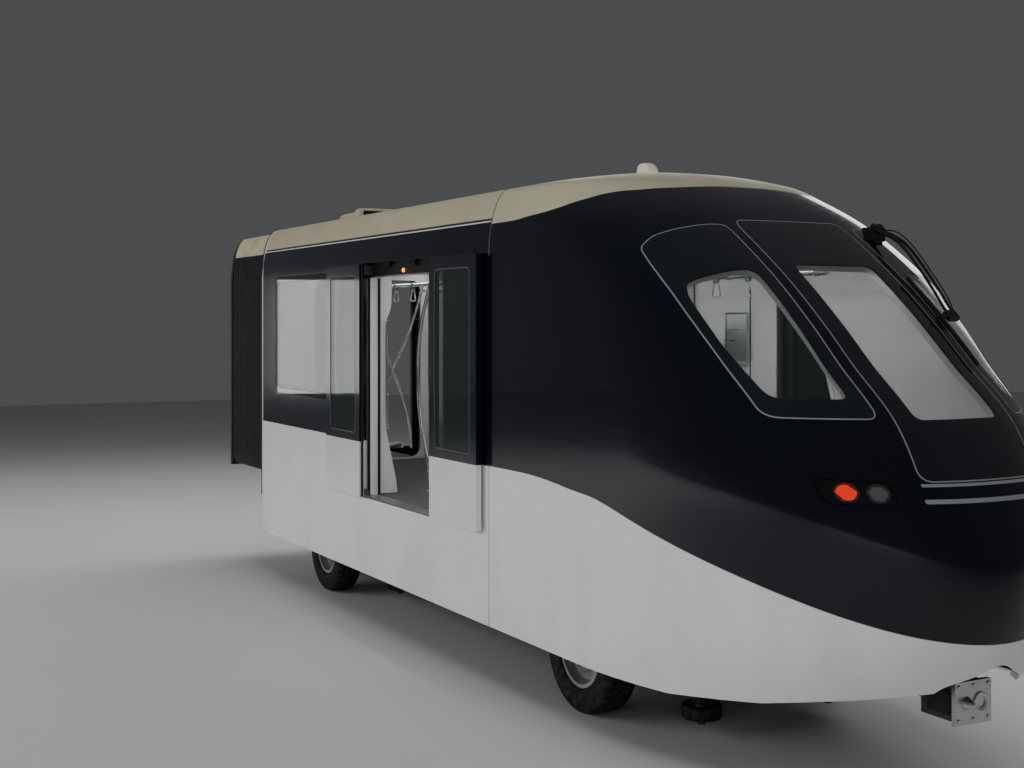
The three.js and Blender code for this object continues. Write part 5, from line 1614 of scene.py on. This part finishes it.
def dome_shape(t, a):
    """Superellipses of power 3.5 in plan that shrink by one of power 3.6 with height, their
    centre moving back by the square of the height, closed by a point on top and in the foot."""
    height = np.clip(t, 0, 1)
    top = np.maximum(1 - height**DOME_RISE_POWER, 0) ** (1 / DOME_RISE_POWER)
    plan = np.abs(np.cos(a)) ** DOME_PLAN_POWER + np.abs(np.sin(a)) ** DOME_PLAN_POWER
    reach = plan ** (-1 / DOME_PLAN_POWER) * np.where(t < 0, 0, top)
    x = ANTENNA_X - DOME_LEAN * height**2 + DOME_HALF_X * reach * np.cos(a) * (1 - 0.12 * height)
    z = ANTENNA_FOOT_Z + (ANTENNA_TOP_Z - ANTENNA_FOOT_Z) * height
    return x, DOME_HALF_Y * reach * np.sin(a), z


heights = np.concatenate([[-1], np.sin(np.linspace(0, np.pi / 2, 22))])
dome = grid_skin(heights, np.linspace(0, 2 * np.pi, 49), dome_shape, (0, 0, 1))
foot = block((ANTENNA_X - 0.097, ANTENNA_X + 0.195), (-FOOT_HALF_Y, FOOT_HALF_Y), FOOT_Z, 0.008)
antenna_shell = Finish("antenna_shell")
antenna_shell.toned(antenna_shell.noise(12, 4.0), (0.74, 0.71, 0.58), (0.84, 0.81, 0.68),
                    (0.32, 0.15))
piece("roof_antenna", *joined((dome.points, outwards(dome.points, dome.faces)), foot),
      antenna_shell, slot="white_paint", replaces=["antenna"])

# Wiper: a cast pivot housing above the windscreen's corner, two parallel arms to a knuckle, and a
# blade with its rubber lip on the glass. A washer hose follows the arms.
WIPER_ARM = [
    (3.290, 0.720, 3.240), (3.560, 0.690, 3.140), (3.820, 0.650, 2.925), (4.075, 0.605, 2.665),
]
WIPER_ARM_OFFSETS = (-0.024, 0.024)
WIPER_BLADE = [(3.830, 0.484, 2.900), (4.110, 0.486, 2.655), (4.400, 0.486, 2.375)]
WIPER_LINK = [(4.085, 0.590, 2.665), (4.100, 0.540, 2.660), (4.110, 0.488, 2.658)]
KNUCKLE = np.array([4.078, 0.603, 2.662])
BLADE_PIVOT = [(0, 0.026), (0.014, 0.026), (0.017, 0.020), (0.017, -0.020), (0.014, -0.026),
               (0, -0.026)]
ARM_PIVOT = [(0, 0.030), (0.020, 0.030), (0.024, 0.024), (0.024, -0.012), (0, -0.012)]
HOSE = [
    (3.30, 0.768, 3.235), (3.45, 0.752, 3.215), (3.62, 0.722, 3.125), (3.83, 0.690, 2.935),
    (3.98, 0.662, 2.790), (4.06, 0.640, 2.690),
]
wiper_steel = Finish("wiper_steel")
wiper_steel.toned(wiper_steel.noise(45, 4.0), (0.012, 0.012, 0.013), (0.050, 0.050, 0.052),
                  (0.32, 0.2))
down_glass = np.array([0.62, 0, -0.56])
down_glass /= np.linalg.norm(down_glass)
off_glass = np.array([0.56, 0, 0.62])
off_glass /= np.linalg.norm(off_glass)
spine = curve(WIPER_BLADE, 36)
wiper_parts = [
    bar(soft_box(0.086, 0.040, 0.012), KNUCKLE - 0.032 * down_glass, KNUCKLE + 0.032 * down_glass),
    tube(curve(WIPER_LINK, 12), 0.010),
    turned(BLADE_PIVOT, (4.110, 0.486, 2.658), (0, 1, 0), 20),
    bar(soft_box(0.110, 0.100, 0.022), (3.215, 0.722, 3.205), (3.325, 0.722, 3.205)),
    tube(spine + 0.004 * off_glass, 0.009, 10),
]
for offset in WIPER_ARM_OFFSETS:
    arm = curve([(x, y + offset, z) for x, y, z in WIPER_ARM], 30)
    wiper_parts.append(tube(arm, np.linspace(0.012, 0.008, 30), 12))
    wiper_parts.append(turned(ARM_PIVOT, (3.292, 0.720 + offset, 3.243), off_glass, 22))
clips = [tube([point - 0.010 * down_glass, point, point + 0.010 * down_glass], 0.013, 12)
         for point in curve(WIPER_BLADE, 7)[1:-1]]
piece("wiper_arms", *joined(*wiper_parts, *clips), wiper_steel, slot="wiper_black",
      replaces=["wiper"])
lip = tube(spine - 0.008 * off_glass, 0.006, 8)
hose = tube(curve(HOSE, 60), 0.004, 8)
piece("wiper_rubber", *joined(lip, hose), seal_rubber, slot="wiper_black", replaces=["wiper"])

# Underside: the floor frame, equipment block, coupler and drawbar, welded of painted steel and
# dulled by road dust, with lids on the block held by bright latches.
LIDS_X = (-1.36, -0.74), (-0.70, -0.08), (-0.04, 0.52), (0.56, 1.14)
under_paint = Finish("underframe_paint")
under_tone = under_paint.noise(6, 5.0)
road_dust = under_paint.ramp(under_paint.noise(15, 5.0), 0.45, 0.75)
under_paint.set("Base Color", under_paint.mix(
    road_dust * 0.5, under_paint.mix(under_tone, (0.060, 0.062, 0.066), (0.095, 0.097, 0.102)),
    (0.17, 0.155, 0.135)))
under_paint.set("Roughness", 0.55 + road_dust * 0.25)
under_paint.bump(under_paint.noise(90, 3.0), 0.0005)
for node in ("underframe", "equipment_box", "front_coupler", "rear_drawbar"):
    finished(node, under_paint)
box_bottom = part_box("equipment_box")[0].z
lids, latches = [], []
for x0, x1 in LIDS_X:
    for _, sign in SIDES:
        lids.append(block((x0, x1), out_to(sign, 0.10, 0.96),
                          (box_bottom - 0.004, box_bottom + 0.004), 0.003))
        latches += [block((x - 0.03, x + 0.03), out_to(sign, 0.93, 0.955),
                          (box_bottom - 0.010, box_bottom), 0.003) for x in (x0 + 0.14, x1 - 0.14)]
piece("equipment_lids", *joined(*lids), frame_paint, slot="dark_steel")
piece("equipment_latches", *joined(*latches), satin_alloy, slot="bright_metal")

# Coupler: a machined face plate with a cone and a cup that find each other, bolted to the cast
# head, whose sides have lids. Collars clamp the shank.
COUPLER_Z = 0.56
FACE_X = 4.826
COLLARS_X = (4.540, 4.150)
BOLT = [(0, 0.008), (0.010, 0.008), (0.013, 0.005), (0.013, -0.004), (0, -0.004)]
CUP = [(0.034, -0.02), (0.034, 0.007), (0.048, 0.010), (0.054, 0.006), (0.054, -0.02)]
CONE = [(0, 0.056), (0.010, 0.054), (0.018, 0.046), (0.033, 0.008), (0.038, 0.0),
        (0.038, -0.010), (0, -0.010)]
COLLAR = [(0.025, -0.016), (0.070, -0.016), (0.074, -0.012), (0.074, 0.012), (0.070, 0.016),
          (0.025, 0.016)]
face_plate = block((4.800, FACE_X), (-0.135, 0.135), (COUPLER_Z - 0.118, COUPLER_Z + 0.118), 0.010)
cup = turned(CUP, (FACE_X, 0.052, COUPLER_Z), (1, 0, 0), 32, closed=True)
cone = turned(CONE, (FACE_X, -0.052, COUPLER_Z), (1, 0, 0), 32)
coupler_bolts = [turned(BOLT, (FACE_X, y, COUPLER_Z + z), (1, 0, 0), 6)
                 for y in (-0.110, 0, 0.110) for z in (-0.092, 0.092)]
piece("coupler_face_plate", *joined(face_plate, cup, cone, *coupler_bolts), satin_alloy,
      slot="bright_metal")
side_lids = [block((4.610, 4.775), out_to(sign, 0.119, 0.127),
                   (COUPLER_Z - 0.070, COUPLER_Z + 0.070), 0.004) for _, sign in SIDES]
lid_bolts = [turned(BOLT, (x, sign * 0.127, COUPLER_Z + z), (0, sign, 0), 6)
             for _, sign in SIDES for x in (4.632, 4.753) for z in (-0.050, 0.050)]
collars = [turned(COLLAR, (x, 0, COUPLER_Z), (1, 0, 0), 32, closed=True) for x in COLLARS_X]
piece("coupler_lids_and_collars", *joined(*side_lids, *lid_bolts, *collars), frame_paint,
      slot="dark_steel")

# Tyres: run-flat road tyres of moulded rubber, pressed on to their rims, with four grooves round
# the tread and slots across its shoulders.
BOGIES_X = {"front": 2.3, "rear": -2.5}
WHEEL_Y, WHEEL_Z = 0.880, 0.425
WHEELS = [(f"{end}_{{}}_{side}", x, sign) for end, x in BOGIES_X.items() for side, sign in SIDES]
TYRE_SECTION = [
    # radius, distance from the middle, from the bead out to the middle of the tread
    (0.2542, 0.092), (0.262, 0.110), (0.285, 0.119), (0.315, 0.1235), (0.350, 0.1245),
    (0.383, 0.120), (0.405, 0.109), (0.4175, 0.092), (0.4225, 0.070), (0.4243, 0.040),
    (0.4247, 0.0),
]
GROOVES_Y, GROOVE_HALF, TREAD_DEPTH = (0.026, 0.066), 0.0045, 0.0085
SLOTS, SLOT_EDGES = 38, [0.0, 0.04, 0.26, 0.30]
SLOT_BEYOND_Y, SLOT_BEYOND_RADIUS = 0.070, 0.404
tyre_rubber = Finish("tyre_rubber")
tyre_dust = tyre_rubber.ramp(tyre_rubber.noise(20, 5.0), 0.40, 0.75)
tyre_rubber.toned(tyre_dust, (0.014, 0.014, 0.015), (0.065, 0.062, 0.058), (0.62, 0.2))
tyre_rubber.bump(tyre_rubber.noise(220, 3.0), 0.0004)


def tyre(centre):
    """The section turned about the wheel's axis. The radius drops by the tread's depth inside a
    groove, by distance from its middle, and inside a slot, by angle."""
    half = smooth_table(np.array(TYRE_SECTION), np.linspace(0, 1, 19))
    groove_walls = GROOVE_HALF * np.array([-1.05, -0.95, 0.95, 1.05])
    fine = np.unique(np.concatenate([np.linspace(0, 0.074, 9),
                                     *[groove + groove_walls for groove in GROOVES_Y]]))
    shoulder = half[half[:, 1] > 0.075]
    keep = shoulder[:np.argmax(shoulder[:, 0]) + 1]
    crown_r = np.interp(fine, half[::-1, 1][:10], half[::-1, 0][:10])
    outer = np.concatenate([keep, np.stack([crown_r, fine], 1)[::-1]])
    section = np.concatenate([outer, (outer * [1, -1])[::-1][1:]])
    angle = (np.arange(SLOTS)[:, None] + SLOT_EDGES).ravel() * 2 * np.pi / SLOTS
    r, y = section[:, :1], section[:, 1:]
    in_groove = np.zeros_like(y, bool)
    for groove in GROOVES_Y:
        in_groove |= np.abs(np.abs(y) - groove) < GROOVE_HALF
    phase = angle[None] * SLOTS / (2 * np.pi) % 1
    in_slot = (phase > 0.02) & (phase < 0.28)
    in_slot = in_slot & (np.abs(y) > SLOT_BEYOND_Y) & (r > SLOT_BEYOND_RADIUS)
    radius = r - TREAD_DEPTH * (in_groove | in_slot)
    x = centre[0] + radius * np.cos(angle)[None]
    z = centre[2] + radius * np.sin(angle)[None]
    points = np.stack([x, centre[1] + y + 0 * x, z], -1)
    faces = grid_faces(*points.shape[:2], round_columns=True, round_rows=True)
    points = points.reshape(-1, 3)
    return points, outwards(points, faces)


for wheel, x, sign in WHEELS:
    piece(wheel.format("road_tyre"), *tyre((x, sign * WHEEL_Y, WHEEL_Z)), tyre_rubber,
          body=wheel.format("wheel"), slot="tyre_rubber", replaces=[wheel.format("tyre")], sharp=35)

# Rims: cast alloy discs with a rolled edge, held by ten nuts, with a bent valve stem. A little
# brake dust darkens them.
RIM_SECTION = [
    # radius, distance outboard, round the closed section
    (0.0606, 0.094), (0.078, 0.094), (0.086, 0.088), (0.092, 0.078), (0.128, 0.074),
    (0.140, 0.066), (0.152, 0.050), (0.178, 0.040), (0.203, 0.046), (0.214, 0.062),
    (0.219, 0.092), (0.226, 0.1035), (0.240, 0.1045), (0.2525, 0.102), (0.2535, 0.085),
    (0.2535, -0.085), (0.2525, -0.102), (0.240, -0.1045), (0.226, -0.1035), (0.219, -0.090),
    (0.214, -0.040), (0.204, 0.010), (0.180, 0.018), (0.140, 0.010), (0.118, -0.020),
    (0.112, -0.055), (0.100, -0.060), (0.0606, -0.060),
]
NUTS, NUT_CIRCLE, NUT_FOOT_Y = 10, 0.110, 0.074
NUT = [
    # radius, height
    (0, 0.022), (0.0075, 0.022), (0.0085, 0.016), (0.0105, 0.014), (0.0115, 0.010),
    (0.0115, 0.0), (0, 0.0),
]
VALVE = [
    # ahead of the axle, outboard of the wheel's middle
    (0.205, 0.050), (0.199, 0.070), (0.190, 0.086),
]
cast_alloy = Finish("cast_alloy")
cast_tone = cast_alloy.noise(30, 5.0)
brake_dust = cast_alloy.ramp(cast_alloy.noise(9, 4.0), 0.45, 0.8)
cast_alloy.set("Base Color", cast_alloy.mix(
    brake_dust * 0.6, (0.58, 0.585, 0.59), (0.24, 0.22, 0.20)))
cast_alloy.set("Metallic", 0.75 + cast_tone * 0.15)
cast_alloy.set("Roughness", 0.34 + cast_tone * 0.2)
cast_alloy.bump(cast_alloy.noise(260, 2.0), 0.0003)

for wheel, x, sign in WHEELS:
    centre = (x, sign * WHEEL_Y, WHEEL_Z)
    disc = turned(RIM_SECTION, centre, (0, sign, 0), 72, closed=True)
    nuts = [turned(NUT, (x + NUT_CIRCLE * math.cos(angle), centre[1] + sign * NUT_FOOT_Y,
                         WHEEL_Z + NUT_CIRCLE * math.sin(angle)), (0, sign, 0), 6)
            for angle in np.arange(NUTS) * 2 * np.pi / NUTS]
    valve = tube([(x + ahead, centre[1] + sign * out, WHEEL_Z) for ahead, out in VALVE], 0.004, 8)
    piece(wheel.format("wheel_disc"), *joined(disc, *nuts, valve), cast_alloy,
          body=wheel.format("wheel"), slot="bright_metal", replaces=[wheel.format("rim")], sharp=32)

# Guide wheels: solid rubber tyres on turned alloy hubs, held by a ring of small bolts, lying
# flat at the four corners of each bogie.
GUIDE_AT = (0.750, 0.520, 0.145)
GUIDE_TYRE = [(0.088, -0.0440), (0.118, -0.0440), (0.1265, -0.0400), (0.1298, -0.0310),
              (0.1300, 0.0), (0.1298, 0.0310), (0.1265, 0.0400), (0.118, 0.0440), (0.088, 0.0440)]
GUIDE_HUB = [(0.0256, -0.0440), (0.040, -0.0445), (0.046, -0.040), (0.052, -0.024), (0.074, -0.020),
             (0.082, -0.034), (0.0878, -0.0435), (0.0878, 0.0435), (0.082, 0.034), (0.074, 0.020),
             (0.052, 0.024), (0.046, 0.040), (0.040, 0.0445), (0.0256, 0.0440)]
GUIDE_BOLT = [(0, 0.006), (0.006, 0.006), (0.007, 0.004), (0.007, 0.0), (0, 0.0)]
GUIDE_BOLTS, GUIDE_BOLT_CIRCLE, GUIDE_BOLT_Z = 6, 0.063, 0.0215
for end, x in BOGIES_X.items():
    for along, ahead in (("front", 1), ("rear", -1)):
        for side, sign in SIDES:
            centre = (x + ahead * GUIDE_AT[0], sign * GUIDE_AT[1], GUIDE_AT[2])
            facts = {"body": f"{end}_guide_{along}_{side}", "slot": "guide_tyre",
                     "replaces": [f"{end}_guide_wheel_{along}_{side}"]}
            piece(f"{end}_guide_tyre_{along}_{side}",
                  *turned(GUIDE_TYRE, centre, (0, 0, 1), 48, True), tyre_rubber, **facts)
            hub = turned(GUIDE_HUB, centre, (0, 0, 1), 48, True)
            heads = [turned(GUIDE_BOLT, (centre[0] + GUIDE_BOLT_CIRCLE * math.cos(angle),
                                         centre[1] + GUIDE_BOLT_CIRCLE * math.sin(angle),
                                         centre[2] + up * GUIDE_BOLT_Z), (0, 0, up), 6)
                     for up in (1, -1)
                     for angle in np.arange(GUIDE_BOLTS) * 2 * np.pi / GUIDE_BOLTS]
            piece(f"{end}_guide_hub_{along}_{side}", *joined(hub, *heads), cast_alloy, **facts)

# Bogies: welded frames and axles of painted steel, with air springs of rolled rubber that bulge
# twice between their end plates, and bolt heads along the beams.
SPRING_Y, SPRING_RADIUS = 0.450, 0.140
SPRING_Z = (0.700, 0.990)
SPRING_SKIN, SPRING_BULGE = 0.003, 0.016
BEAM_BOLTS_X = (-0.80, -0.70, -0.46, -0.34, 0.34, 0.46, 0.70, 0.80)
BEAM_BOLTS_Y, BEAM_TOP_Z = 0.5205, 0.640
BEAM_BOLT = [(0, 0.010), (0.011, 0.010), (0.013, 0.007), (0.013, 0.0), (0, 0.0)]
spring_z = np.linspace(*SPRING_Z, 46)
share = (spring_z - SPRING_Z[0]) / (SPRING_Z[1] - SPRING_Z[0])
bulge = SPRING_BULGE * np.abs(np.sin(2 * np.pi * share)) ** 0.7
spring_skin = np.stack([SPRING_RADIUS + SPRING_SKIN + bulge, spring_z], 1)
spring_ends = [(SPRING_RADIUS + 0.0005, z) for z in SPRING_Z]
spring_profile = np.concatenate([spring_ends[:1], spring_skin, spring_ends[1:]])
for end, x in BOGIES_X.items():
    finished(f"{end}_bogie_frame", frame_paint)
    finished(f"{end}_drive_axle", under_paint)
    springs = [turned(spring_profile, (x, sign * SPRING_Y, 0), (0, 0, 1), 48, True)
               for _, sign in SIDES]
    piece(f"{end}_air_springs", *joined(*springs), seal_rubber, body=f"{end}_bogie",
          slot="dark_steel")
    heads = [turned(BEAM_BOLT, (x + along, sign * BEAM_BOLTS_Y, BEAM_TOP_Z), (0, 0, 1), 6)
             for _, sign in SIDES for along in BEAM_BOLTS_X]
    piece(f"{end}_beam_bolts", *joined(*heads), satin_alloy, body=f"{end}_bogie",
          slot="bright_metal")
